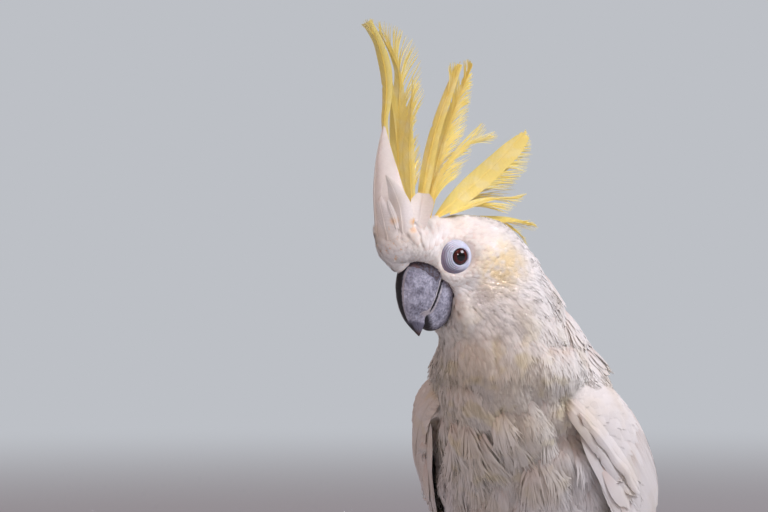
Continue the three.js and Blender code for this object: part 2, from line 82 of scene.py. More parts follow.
def head_matrix():
    """The head's frame: its left is +X, its back +Y and its crown +Z, in metres."""
    left, right = middle("eye_left"), middle("eye_right")
    yaw = math.atan2(left.y - right.y, left.x - right.x)
    turn = Matrix.Rotation(yaw, 4, "Z") @ Matrix.Rotation(HEAD_PITCH, 4, "X")
    between = turn @ Vector((0, EYE_BACK * MM, -EYE_DROP * MM))
    return Matrix.Translation((left + right) / 2 - between) @ turn


HEAD = head_matrix()
BIRD = Matrix.Translation(HEAD.translation - Vector(HEAD_AT) * MM)


def eye_matrix(sign):
    """An eye's frame: +Z looks out of the head and +Y is up."""
    out = Vector((sign * math.cos(EYE_TURN), -math.sin(EYE_TURN), 0))
    up = Vector((0, 0, 1))
    turn = Matrix((up.cross(out), up, out)).transposed().to_4x4()
    return HEAD @ Matrix.Translation(Vector((sign * EYE_SIDE, EYE_BACK, -EYE_DROP)) * MM) @ turn


def moved(matrix, points):
    """Points in millimetres of a frame, as an array of places in metres."""
    turn = np.array(matrix)
    return np.atleast_2d(points) * MM @ turn[:3, :3].T + turn[:3, 3]


def turned(matrix, directions):
    """Directions of a frame as directions of the whole bird."""
    return np.atleast_2d(directions) @ np.array(matrix)[:3, :3].T


def within(matrix, points):
    """Places in metres as points in millimetres of a frame."""
    back = np.array(matrix.inverted())
    return (np.atleast_2d(points) @ back[:3, :3].T + back[:3, 3]) / MM


def in_head(forward, up, left=0.0):
    """Head-frame millimetres from how far a place is forward of the eyes, above them and to the left."""
    return (left, -forward, up)


def head_point(forward, up, left=0.0):
    """A place on the head, in metres."""
    return moved(HEAD, in_head(forward, up, left))[0]


def bird_point(left, back, up):
    """A place on the bird, in metres."""
    return moved(BIRD, (left, back, up))[0]


# ---------------------------------------------------------------- curves and arrays


def through(keys, t):
    """A smooth curve through keys (count, 3) at shares t of the way along, and straight on past its ends."""
    keys = np.asarray(keys, float)
    spans = len(keys) - 1
    at = np.asarray(t, float) * spans
    k = np.clip(np.floor(at).astype(int), 0, spans - 1)
    u = (at - k)[..., None]
    padded = np.concatenate([[2 * keys[0] - keys[1]], keys, [2 * keys[-1] - keys[-2]]])
    a, b, c, d = (padded[k + i] for i in range(4))
    return 0.5 * (2 * b + (c - a) * u + (2 * a - 5 * b + 4 * c - d) * u**2 + (3 * b - a - 3 * c + d) * u**3)


def series(values, t):
    """A number that runs smoothly through values, at shares t of the way."""
    return through(np.asarray(values, float)[:, None], t)[..., 0]


def unit(vectors):
    """Vectors of length one."""
    vectors = np.asarray(vectors, float)
    return vectors / np.maximum(np.linalg.norm(vectors, axis=-1, keepdims=True), 1e-12)


def dot(a, b):
    """The dot products of two arrays of vectors, as a column."""
    return np.sum(np.asarray(a) * np.asarray(b), axis=-1, keepdims=True)


def rise(low, high, x):
    """0 below low, 1 above high and a smooth rise between them."""
    t = np.clip((np.asarray(x, float) - low) / (high - low), 0, 1)
    return t * t * (3 - 2 * t)


def wander(points, size, seed):
    """A smooth number from -1 to 1 that changes over about size millimetres."""
    rng = np.random.default_rng(seed)
    total = np.zeros(len(points))
    for _ in range(6):
        wave = unit(rng.normal(size=3)) * rng.uniform(0.7, 1.6) * math.pi / (size * MM)
        total += np.sin(points @ wave + rng.uniform(0, 2 * math.pi))
    return np.clip(total / 2.6, -1, 1)


# ---------------------------------------------------------------- making pieces

MERGE = 1e-6  # corners this close together, in metres, become one


def surface(across, along, place, closed=False, notes=None):
    """A bmesh grid whose corners place(u, v) puts, u and v from 0 to 1, rolled shut and capped if closed.

    notes(u, v) names what is kept at each corner: single numbers, or pairs for an unwrapped map.
    """
    bm = bmesh.new()
    bmesh.ops.create_grid(bm, x_segments=across, y_segments=along, size=0.5)
    bm.verts.index_update()
    flat = np.array([vert.co[:2] for vert in bm.verts]) + 0.5
    u, v = flat.T
    for name, values in {"Lie": flat, **(notes(u, v) if notes else {})}.items():
        if values.ndim == 2:
            layer = bm.loops.layers.uv.new(name)
            for loop in (loop for face in bm.faces for loop in face.loops):
                loop[layer].uv = values[loop.vert.index]
        else:
            layer = bm.verts.layers.float.new(name)
            for vert, value in zip(bm.verts, values):
                vert[layer] = value
    for vert, spot in zip(bm.verts, place(u, v)):
        vert.co = spot
    if closed:
        bmesh.ops.remove_doubles(bm, verts=bm.verts, dist=MERGE)
        rims = [edge for edge in bm.edges if edge.is_boundary]
        bmesh.ops.holes_fill(bm, edges=rims, sides=0)
        bmesh.ops.recalc_face_normals(bm, faces=bm.faces)
    return bm


def joined(bms):
    """Several bmeshes as one."""
    whole = bmesh.new()
    for bm in bms:
        mesh = mesh_of("part", bm)
        whole.from_mesh(mesh)
        bpy.data.meshes.remove(mesh)
    return whole


def mesh_of(name, bm):
    """A bmesh as a mesh."""
    mesh = bpy.data.meshes.new(name)
    bm.to_mesh(mesh)
    bm.free()
    return mesh


def settle(name, mesh, material, replaces=()):
    """Puts a finished mesh or bmesh in the scene as a piece that rides on the bird's one body."""
    if isinstance(mesh, bmesh.types.BMesh):
        mesh = mesh_of(name, mesh)
    mesh.materials.append(material)
    mesh.polygons.foreach_set("use_smooth", [True] * len(mesh.polygons))
    piece = bpy.data.objects.new(name, mesh)
    bpy.context.scene.collection.objects.link(piece)
    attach(piece, "root")
    if replaces:
        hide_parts(*replaces)
    return piece


def solid_copy(node, grown=0.0):
    """A node's solid as a merged bmesh, grown along its normals by so many millimetres."""
    bm = bmesh.new()
    bm.from_mesh(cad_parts[node].data)
    bmesh.ops.remove_doubles(bm, verts=bm.verts, dist=MERGE)
    bm.normal_update()
    for vert in bm.verts:
        vert.co += vert.normal * grown * MM
    return bm


def tree_from(bm):
    """A tree that finds places on a bmesh."""
    tree = BVHTree.FromBMesh(bm)
    bm.free()
    return tree


@functools.cache
def tree_of(nodes):
    """A tree that finds the nearest place on the named nodes."""
    return tree_from(joined([solid_copy(node) for node in nodes]))


def nearest(tree, points):
    """For each place, the nearest one on a tree's surface, its normal and how many millimetres off it is."""
    places, normals, _, away = zip(*(tree.find_nearest(Vector(point)) for point in points))
    return np.array(places), np.array(normals), np.array(away) / MM


# ---------------------------------------------------------------- materials

# Kinds of shader node: type, settings, the inputs that the values given fill in turn, and the output read.
MIX = ("Mix", {"data_type": "RGBA"}, (0, 6, 7), 2)  # from one colour to another as a factor goes from 0 to 1
RAMP = ("MapRange", {"interpolation_type": "SMOOTHSTEP"}, range(5), 0)  # from low and high to start and end
TIMES, PLUS, MINUS, OVER, MOST, ABSOLUTE = (
    ("Math", {"operation": name}, (0, 1), 0)
    for name in ("MULTIPLY", "ADD", "SUBTRACT", "DIVIDE", "MAXIMUM", "ABSOLUTE")
)
DISTANCE = ("VectorMath", {"operation": "DISTANCE"}, (0, 1), "Value")
ACROSS, ALONG, UPWARD = (("SeparateXYZ", {}, (0,), axis) for axis in "XYZ")
PLACE = ("TexCoord", {}, (), "Object")  # the place on the bird, in metres
LIE_MAP, BARB_MAP = (("UVMap", {"uv_map": name}, (), 0) for name in ("Lie", "Barbs"))
NOTED = {
    name: ("Attribute", {"attribute_name": name}, (), "Fac")
    for name in ("lie", "tone", "crease", "front", "gap", "hole")
}
STRETCH = ("Mapping", {}, ("Vector", "Scale"), 0)
NOISE = ("TexNoise", {}, ("Vector", "Scale", "Detail"), "Fac")
WAVE = ("TexWave", {}, ("Vector", "Scale", "Distortion", "Detail"), "Fac")
CELLS = ("TexVoronoi", {"feature": "DISTANCE_TO_EDGE"}, ("Vector", "Scale"), "Distance")
SHADE = ("HueSaturation", {}, ("Value", "Color"), 0)
BUMP = ("Bump", {}, ("Height", "Distance", "Strength"), 0)
PRINCIPLED = ("BsdfPrincipled", {}, ("Base Color", "Roughness"), 0)
TRANSLUCENT = ("BsdfTranslucent", {}, ("Color",), 0)
EMISSION, BACKGROUND = ((kind, {}, ("Color", "Strength"), 0) for kind in ("Emission", "Background"))
BOTH = ("MixShader", {}, (0, 1, 2), 0)
OUTPUT, OUTPUT_WORLD = ((kind, {}, ("Surface",), None) for kind in ("OutputMaterial", "OutputWorld"))


def linear(hex_colour):
    """The linear colour, with alpha, of an sRGB hex value."""
    channels = [int(hex_colour[i : i + 2], 16) / 255 for i in (1, 3, 5)]
    return (*[c / 12.92 if c <= 0.04045 else ((c + 0.055) / 1.055) ** 2.4 for c in channels], 1.0)


def tint(name, description, hex_colour):
    """A colour setting."""
    return FloatVectorProperty(
        name=name, description=description, default=linear(hex_colour), subtype="COLOR", size=4, min=0, max=1
    )


def add_node(tree, kind, *values, **named):
    """Adds a node of one of the kinds above, fills its inputs with values or links, and gives its output.

    A named input is written with _ for each space.
    """
    type_name, settings, sockets, output = kind
    node = tree.nodes.new("ShaderNode" + type_name)
    for key, value in settings.items():
        setattr(node, key, value)
    for key, value in (*zip(sockets, values), *((key.replace("_", " "), named[key]) for key in named)):
        if isinstance(value, bpy.types.NodeSocket):
            tree.links.new(value, node.inputs[key])
        else:
            node.inputs[key].default_value = value
    return node.outputs[output] if node.outputs else None


def node_adder(owner):
    """Clears the nodes of a material or world, and gives the function that puts new ones there."""
    owner.use_nodes = True
    owner.node_tree.nodes.clear()
    return functools.partial(add_node, owner.node_tree)


def new_material(name):
    """An empty material and the function that puts nodes in it."""
    material = bpy.data.materials.new(name)
    return material, node_adder(material)


def shaded(put, colour, roughness, bump=None, through=0.0, **named):
    """Gives a material its surface: bump is a height, how many millimetres it stands out and how strongly.

    through is the share of its light that passes through.
    """
    if bump:
        height, stands, strength = bump
        named["Normal"] = put(BUMP, height, stands * MM, strength)
    shader = put(PRINCIPLED, colour, roughness, **named)
    if through:
        shader = put(BOTH, through, shader, put(TRANSLUCENT, colour))
    put(OUTPUT, shader)


def around(put, centre, low, high):
    """1 within low millimetres of a place on the bird, falling to 0 at high."""
    return put(RAMP, put(DISTANCE, put(PLACE), tuple(centre)), low * MM, high * MM, 1.0, 0.0)


def grained(put, size, detail=2.0):
    """Lumps about size millimetres across, all over the bird."""
    return put(NOISE, put(PLACE), 1 / (size * MM), detail)


def speckled(put, size, low, high, detail=2.0):
    """Soft blotches: 0 where lumps of that size are under low, 1 where they are over high."""
    return put(RAMP, grained(put, size, detail), low, high)


def streaked(put, across, along, detail):
    """Lumps drawn out over a surface, so many across it and along it."""
    return put(NOISE, put(STRETCH, put(LIE_MAP), (across, along, 1)), 1.0, detail)


def aged_white(put, looks):
    """White plumage, warmer in soft patches."""
    return put(MIX, speckled(put, 26, 0.42, 0.68), looks.white, looks.cream)


# Warm shadows between the white feathers of the brow: [forward, up, left] and how wide, in millimetres. Each
# comes on both sides.
BROW_STREAKS = (((31.0, 28, 9), 3.6), ((22, 25, 13), 3.4), ((23, 20, 13), 3.4))


def white_markings(put, looks):
    """The colour of the plumage: white, with yellow on the ears, brow, shoulders and breast.

    The brow's colour also paints warm shadows between its feathers.
    """
    ears = [around(put, head_point(-25, -12, side * 21), 3, 22) for side in (1, -1)]
    ear = put(TIMES, put(MOST, *ears), speckled(put, 5, 0.25, 0.6, 3.0))
    colour = put(MIX, put(TIMES, ear, 0.95), aged_white(put, looks), looks.ear)
    breast = around(put, bird_point(-6, -70, 155), 35, 75)
    blotches = put(RAMP, grained(put, 11, 1.0), 0.52, 0.7, 0.16, 0.5)
    colour = put(MIX, put(TIMES, breast, blotches), colour, looks.breast)
    shoulders = [around(put, bird_point(34 * side, -3, 181), 3, 10) for side in (1, -1)]
    colour = put(MIX, put(TIMES, put(MOST, *shoulders), 0.2), colour, looks.brow)
    flecks = speckled(put, 2.2, 0.62, 0.72)
    brow = put(TIMES, put(TIMES, around(put, head_point(30, 13, 4), 7, 18), flecks), 0.6)
    # Painted shadows: warm streaks of shade between the brow's feathers, in the brow's colour
    for (forward, up, left), wide in BROW_STREAKS:
        for side in (left, -left):
            brow = put(MOST, brow, around(put, head_point(forward, up, side), 0.5, wide))
    return put(MIX, put(TIMES, brow, 0.8), colour, looks.brow)


def crest_markings(put, looks):
    """Lemon yellow that deepens to orange yellow where the feathers leave the crown."""
    colour = put(MIX, around(put, head_point(6, 20), 3, 24), looks.yellow, looks.gold)
    return put(MIX, put(TIMES, speckled(put, 9, 0.45, 0.7), 0.5), colour, looks.pale)


def tail_markings(put, looks):
    """White that turns to a yellow wash under the wings and tail."""
    facing = put(UPWARD, put(("NewGeometry", {}, (), "Normal")))
    return put(MIX, put(RAMP, facing, -0.9, -0.55, 0.7, 0.0), aged_white(put, looks), looks.wash)


def feather_material(name, markings, looks, through=0.06, barbs=False):
    """Keratin barbs: matt, with a faint sheen, and thin enough to let some light through.

    Their colour is painted with shade where their lie is low, near the roots of the body's feathers, and
    along the troughs between barbs.
    """
    material, put = new_material(name)
    # Painted shade: where lie is low the colour turns towards the depth colour, the shade between the
    # feathers
    between = put(RAMP, put(NOTED["lie"]), 0.0, 0.6, 0.55, 0.0)
    colour = put(MIX, between, markings(put, looks), looks.depth)
    colour = put(SHADE, put(RAMP, put(NOTED["tone"]), 0.0, 1.0, 0.9, 1.04), colour)
    bump = None
    if barbs:
        # Lines that leave the shaft at a slant, one to a barb, drawn 0.8 mm apart so that they show. Their
        # troughs are painted with the depth colour as the shade between the barbs.
        lines = put(WAVE, put(BARB_MAP), 1.0, 1.5, 2.0)
        colour = put(MIX, put(RAMP, lines, 0.0, 0.4, 0.22, 0.0), colour, looks.depth)
        bump = (lines, 0.15, 0.5)
    shaded(put, colour, 0.7, bump, through, Sheen_Weight=0.12, Specular_IOR_Level=0.25)
    return material


# ---------------------------------------------------------------- settings


class PlumageSettings(bpy.types.PropertyGroup):
    """Colours and fullness of the body plumage."""

    white: tint("White", "Colour of most of the plumage", "#f4f1ed")
    cream: tint("Cream", "Warmer colour of worn feathers", "#efe8dd")
    ear: tint("Ear coverts", "Pale yellow behind and below the eyes", "#f4dda2")
    breast: tint("Breast tint", "Faint yellow on the breast", "#f3e6b4")
    # This colour also paints the warm shadows between the brow's feathers
    brow: tint("Brow flecks", "Orange-yellow bases of the forehead feathers", "#f2b750")
    wash: tint("Wash", "Yellow under the wings and tail", "#f1e08a")
    # The depth colour is painted shade: feathers turn to it towards their roots and along their barb troughs,
    # and the skin has a quarter of it
    depth: tint("Depth", "Colour between the feathers, near the skin", "#e0c6b5")
    voxel: FloatProperty(name="Voxel", description="Fineness of the skin", default=1.9 * MM, unit="LENGTH")
    fullness: FloatProperty(name="Fullness", description="Scale of the feathers' lengths", default=1.0)
    seed: IntProperty(name="Seed", description="Start of the random draws", default=7)


# ---------------------------------------------------------------- skin

WINGS = ("wing_left", "wing_right")
# Each zone of flesh: its nodes, and in millimetres how deep its coat is and how far apart, how long and
# how wide in half its feathers are, and how far their tips may stand up or lie down by chance.
ZONES = (
    (("head",), 2.4, 2.3, 10.0, 2.8, 0.3),
    (("neck",), 3.8, 2.7, 18.0, 4.1, 0.35),
    (("trunk",), 5.5, 3.9, 25.0, 5.2, 1.5),
    (WINGS, 1.6, 4.6, 15.0, 5.5, 0.3),
    (("thigh_left", "thigh_right"), 4.0, 3.6, 17.0, 4.4, 1.1),
)
HEAD_ZONE, NECK_ZONE, TRUNK_ZONE, WING_ZONE, THIGH_ZONE = range(5)
DEPTH, SPACING, LENGTH, HALF, LOOSE = range(5)
FLESH = [node for zone in ZONES for node in zone[0]]
BARE = ("bill_upper", "bill_lower", "eye_ring_left", "eye_ring_right")
BLEND = 7  # millimetres over which one zone's coat turns into the next

# Swellings and hollows of the plumage, in millimetres: on the head as [forward, up, left] and on the body
# as [left, back, up], then how far each spreads and how high it stands. Those off the head's middle plane
# come on both of its sides.
BULGES = (
    ((31, 20, 0), 12, 7.0),
    ((32, 8, 0), 8, 2.0),
    ((24, 20, 9), 8, 1.6),
    ((19, 21, 11), 4.5, 2.0),
    ((21, 12, 12), 4.5, 1.8),
    ((12, 17, 14), 4.5, 1.6),
    ((-22, 24, 0), 20, -5.5),
    ((2, -26, 15), 5, 2.4),
    ((0, -33, 15), 5.5, 3.6),
    ((-1, -40, 14), 5.5, 3.2),
    ((6, -46, 13), 4.5, -3.0),
    ((13, -42, 8), 4.5, 3.6),
    ((12, -48, 8), 4.5, 4.6),
    ((10, -54, 8), 5, 3.8),
    ((-14, -30, 20), 9, 1.4),
    ((-22, -8, 21), 10, 1.2),
)
BODY_BULGES = (
    ((33, 12, 188), 15, -5.0),
    ((-33, 12, 188), 15, -5.0),
    ((-43, -24, 112), 17, 6.0),
    ((-42, -10, 88), 15, 4.0),
)


def bill_distance(points):
    """How many millimetres each place is from the root of the bill."""
    return np.linalg.norm(points - head_point(15, -4), axis=1) / MM


def eye_distance(points):
    """How many millimetres each place is from the nearer eye's axis, round its bare ring."""
    away = []
    for _, sign in SIDES:
        across, up, out = within(eye_matrix(sign), points).T
        off = np.hypot(across + sign * EYE_RING_LEAD * 0.6, up)
        away.append(np.where(out > -6, off, 99))
    return np.minimum(*away)


def zone_distances(points):
    """How many millimetres each place is from each zone of flesh."""
    return np.stack([nearest(tree_of(zone[0]), points)[2] for zone in ZONES], axis=1)


def hump(places, middle_place, spread):
    """1 at a place, falling away round it over so many millimetres."""
    return np.exp(-((np.linalg.norm(places - middle_place, axis=1) / spread) ** 2))


def bulge(points):
    """How far the plumage swells at each place, in millimetres."""
    head, local = within(HEAD, points), within(BIRD, points)
    total = np.zeros(len(points))
    for (forward, up, left), spread, high in BULGES:
        for side in {left, -left}:
            total += high * hump(head, in_head(forward, up, side), spread)
    for place, spread, high in BODY_BULGES:
        total += high * hump(local, place, spread)
    _, back, up = local.T
    breast = rise(-5, -35, back) * rise(184, 168, up) * rise(70, 95, up)
    return total + 1.9 * wander(points, 11, 21) * breast


def coat_sizes(points):
    """The coat's depth, spacing, length, half width and looseness at each place, in millimetres."""
    away = zone_distances(points)
    share = np.exp(-(away - away.min(axis=1, keepdims=True)) / BLEND * 2)
    share /= share.sum(axis=1, keepdims=True)
    sizes = share @ np.array([zone[1:] for zone in ZONES])
    _, back, up = within(BIRD, points).T
    face = rise(6, 56, bill_distance(points))
    rim = rise(9, 20, eye_distance(points))
    wing = away[:, WING_ZONE]
    shoulder = np.clip(rise(2, 24, wing) + (wing < away.min(axis=1) + 0.1), 0, 1)
    low = rise(30, 75, up)
    rump = rise(0, 60, back) * rise(90, 120, up)
    nape = rise(10, 30, within(HEAD, points)[:, 1]) * rise(150, 185, up)
    for sorts, factor in (
        ([DEPTH], (0.25 + 0.75 * face) * (0.35 + 0.65 * rim)),
        ([SPACING], 0.58 + 0.42 * face),
        ([LENGTH], (0.5 + 0.5 * face) * (0.55 + 0.45 * rim)),
        ([HALF], (0.5 + 0.5 * face) * (0.7 + 0.3 * rim)),
        ([LOOSE], (0.4 + 0.6 * face) * rim),
        ([LENGTH, LOOSE], 1 - 0.5 * rise(150, 170, up) * (1 - shoulder)),
        ([DEPTH, LENGTH, HALF], 0.4 + 0.6 * low),
        ([SPACING], 0.75 + 0.25 * low),
        ([HALF], 1 + 0.4 * rump),
        ([LOOSE], 1 - 0.85 * rump),
        ([DEPTH], 1 - 0.3 * rump),
        ([HALF], 1 + 0.35 * nape),
        ([LOOSE], 1 - 0.85 * nape),
        ([DEPTH], 1 - 0.5 * nape),
    ):
        sizes[:, sorts] *= factor[:, None]
    return sizes


def remeshed(mesh, voxel, passes):
    """A mesh made again from even voxels and smoothed."""
    work = bpy.data.objects.new("work", mesh)
    bpy.context.scene.collection.objects.link(work)
    cells = work.modifiers.new("Voxels", "REMESH")
    cells.mode = "VOXEL"
    cells.voxel_size = voxel
    work.modifiers.new("Soft", "SMOOTH").iterations = passes
    made = bpy.data.meshes.new_from_object(work.evaluated_get(bpy.context.evaluated_depsgraph_get()))
    bpy.data.objects.remove(work)
    return made


def vertex_array(mesh, field="co"):
    """A mesh's vertex places or normals as an array."""
    values = np.empty(len(mesh.vertices) * 3)
    mesh.vertices.foreach_get(field, values)
    return values.reshape(-1, 3)


def skin_material(looks):
    """Down over skin, seen between the feathers: the coat's own colours with a quarter of painted shade,
    fully matt.
    """
    material, put = new_material("down over skin")
    # Painted shade: a quarter of the depth colour, for the shade between the feathers
    colour = put(MIX, 0.25, white_markings(put, looks), looks.depth)
    shaded(put, colour, 0.95, (grained(put, 1.2, 3.0), 0.4, 0.6))
    return material


class COCKATOO_OT_skin(bpy.types.Operator):
    """Makes one skin from the head to the ankles, inside the flesh's solids by the depth of the coat"""

    bl_idname = "cockatoo.skin"
    bl_label = "Skin"

    def execute(self, context):
        looks = context.scene.cockatoo_plumage
        flesh = mesh_of("flesh", joined([solid_copy(node, 0.35) for node in FLESH]))
        mesh = remeshed(flesh, looks.voxel, 3)
        places = vertex_array(mesh)
        depth = coat_sizes(places)[:, DEPTH] - bulge(places)
        mesh.vertices.foreach_set("co", (places - vertex_array(mesh, "normal") * depth[:, None] * MM).ravel())
        settle("skin", remeshed(mesh, looks.voxel, 4), skin_material(looks), FLESH)
        return {"FINISHED"}


# ---------------------------------------------------------------- small feathers

# Down the middle of the tail, trunk, neck and head, in the bird's frame.
SPINE = ((0, 140, 50), (0, 100, 66), (0, 69, 77), (0, 41, 96), (0, 13, 120), (0, -13, 146), (-1, -33, 171),
         (-7, -50, 215), (-18, -64, 240), (-30, -80, 246), (-40, -92, 246))
SPINE_STEPS = 60


def spine_place(points):
    """How far places are along the spine from tail to face, their angle round it, and the way to the tail."""
    share = np.linspace(0, 1, SPINE_STEPS)
    line = moved(BIRD, through(SPINE, share))
    ahead = unit(np.gradient(line, axis=0))
    near = np.argmin(np.linalg.norm(points[:, None] - line[None], axis=2), axis=1)
    off = points - line[near]
    off -= ahead[near] * dot(off, ahead[near])
    side = unit(np.cross(ahead[near], (1.0, 0.0, 0.0)))
    return share[near], np.arctan2(off[:, 0], dot(off, side)[:, 0]), -ahead[near]


def lie_of_coat(points, normals):
    """Which way the feathers at each place point: away from the bill, then down the body."""
    left, back, up = within(BIRD, points).T
    leg = (rise(8, 20, np.abs(left)) * rise(95, 60, up) * rise(50, 20, back))[:, None]
    body = unit(spine_place(points)[2] + np.array((0.0, 0.0, -0.35)))
    body = unit(body * (1 - leg) + np.array((0.0, 0.25, -1.0)) * leg)
    near = rise(85, 42, bill_distance(points))[:, None]
    way = unit(unit(points - head_point(16, -6)) * near + body * (1 - near))
    for _, sign in SIDES:
        off = points - np.array(eye_matrix(sign).translation)
        gap = np.linalg.norm(off, axis=1) / MM
        off = unit(off - normals * dot(off, normals))
        way = way - off * np.minimum(dot(way, off), 0) * rise(24, 12, gap)[:, None] * 1.15
    way = unit(way - normals * dot(way, normals))
    swirl = np.radians(9 * wander(points, 14, 3) + 11 * wander(points, 34, 4))[:, None]
    return unit(way * np.cos(swirl) + np.cross(normals, way) * np.sin(swirl))


CROWDED = 3  # how many places are tried for each that has room
ROOM = 0.82  # share of the wanted room that a place has to have


def scattered(mesh, rng):
    """Places spread over a mesh, each with the room that its feather wants, and the normals there."""
    mesh.calc_loop_triangles()
    corners = np.empty(len(mesh.loop_triangles) * 3, int)
    mesh.loop_triangles.foreach_get("vertices", corners)
    corners = corners.reshape(-1, 3)
    places = vertex_array(mesh)
    a, b, c = places[corners].transpose(1, 0, 2)
    cross = np.cross(b - a, c - a)
    area = np.linalg.norm(cross, axis=1) / 2
    room = coat_sizes(places)[:, SPACING][corners].mean(axis=1)
    weight = np.where(room > 0, area / np.maximum(room * MM, 1e-5) ** 2, 0)
    count = int(weight.sum() * CROWDED)
    chosen = rng.choice(len(area), count, p=weight / weight.sum())
    u, v = rng.random((2, count, 1))
    flip = u + v > 1
    u, v = np.where(flip, 1 - u, u), np.where(flip, 1 - v, v)
    points = a[chosen] + (b - a)[chosen] * u + (c - a)[chosen] * v
    room = room[chosen] * MM * ROOM
    tree = KDTree(count)
    for i, point in enumerate(points):
        tree.insert(point, i)
    tree.balance()
    free = np.ones(count, bool)
    kept = []
    for i, point in enumerate(points):
        if free[i]:
            kept.append(i)
            for _, j, _ in tree.find_range(point, room[i]):
                free[j] = False
    return points[kept], unit(cross[chosen][kept])


# Tufts from fine to broad: core grid, number of barbs, reach, splay in degrees, curl and half width of a
# barb, then where along the feather its barbs come loose and how wide its closed vane is, in shares.
TUFTS = {
    "face": ((2, 3), 12, 1.0, 60, 0.06, 0.075, 0.08, 0.72),
    "hair": ((3, 4), 19, 1.04, 52, 0.04, 0.055, 0.08, 0.72),
    "plume": ((4, 5), 26, 1.04, 50, 0.0, 0.045, 0.06, 0.5),
    "soft": ((4, 4), 13, 1.0, 34, 0.02, 0.07, 0.4, 0.95),
    "scale": ((6, 7), 0, 1.0, 0, 0.0, 0.0, 0.08, 0.72),
}
VARIANTS = 5
BARB_STEP = 0.314 / 0.8  # a wave texture's own step over the 0.8 mm between the barbs drawn
TUFT_SHARE = 0.0015  # how much of the unwrapped skin one small feather spans


def tuft_shape(rng, core, blades, reach, splay, curl, fine, free, full):
    """One small feather in shares of its size: a soft cupped vane, fringed with bent barbs.

    Its corners are [across -1..1, along 0..1, height], and each has a tone of its own barb.
    """
    bm = bmesh.new()
    tone = bm.verts.layers.float.new("tone")
    across, along = core
    bmesh.ops.create_grid(bm, x_segments=across, y_segments=along, size=0.5)
    for vert in bm.verts:
        x, v = vert.co.x * 2, vert.co.y + 0.5
        wide = math.sin(math.pi * (0.12 + 0.68 * v)) ** 0.8 * full if blades else whole_width(v)
        vert.co = (x * wide, v * (0.84 if blades else 1.0 - 0.06 * x * x), -0.12 * x * x)
        vert[tone] = 0.5
    for k in range(blades):
        lean = (2 * (k + 0.5) / blades - 1) + rng.normal(0, 0.06)
        start = free + rng.uniform(0, 0.26) + 0.3 * (1 - abs(lean)) * rng.random() * (1 - free)
        angle = lean * math.radians(splay)
        far = reach * rng.uniform(0.86, 1.08)
        tip = np.array((math.sin(angle) * 1.1, 0.34 + (far - 0.34) * math.cos(angle)))
        foot = np.array((lean * 0.12, start))
        bend = rng.normal(0, 0.1)
        lift = rng.normal(0, 0.05)
        shade = rng.random()
        ahead = unit(tip - foot)
        aside = np.array((ahead[1], -ahead[0]))
        rows = []
        for s, wide in ((0, fine * 0.85), (0.5, fine), (1, fine * 0.2)):
            spot = foot + (tip - foot) * s + aside * bend * 4 * s * (1 - s)
            high = -0.12 * spot[0] ** 2 + (lift + curl * s) * s + 0.05
            edge = aside * wide
            roll = rng.normal(0, 0.02)
            ends = ((spot - edge, high - roll), (spot + edge, high + roll))
            rows.append([bm.verts.new((*flat, height)) for flat, height in ends])
            for vert in rows[-1]:
                vert[tone] = shade
        for low, high in zip(rows, rows[1:]):
            bm.faces.new((low[0], low[1], high[1], high[0]))
    bm.verts.index_update()
    shape = (
        np.array([vert.co for vert in bm.verts]),
        np.array([vert[tone] for vert in bm.verts]),
        np.array([[vert.index for vert in face.verts] for face in bm.faces]),
    )
    bm.free()
    return shape


def whole_width(v):
    """The half width, at a share of its length, of a small feather that is closed right to its round end."""
    end = max(1 - max(v - 0.42, 0) ** 2.4 * 3.6, 0.02) ** 0.5
    return (0.55 + 0.45 * math.sin(math.pi * min(v / 1.2, 0.5))) * end


def laid(line, upright, half, height, patch):
    """How small feathers lie, as planted takes it.

    line and upright are places and normals at their roots, middles and tips, and patch is where they are on
    the unwrapped skin. Half widths and the heights of the tips are in metres.
    """
    line, upright, patch = (np.stack(columns, axis=1) for columns in (line, upright, patch))
    return {"line": line, "normal": upright, "half": half, "height": height, "patch": patch}


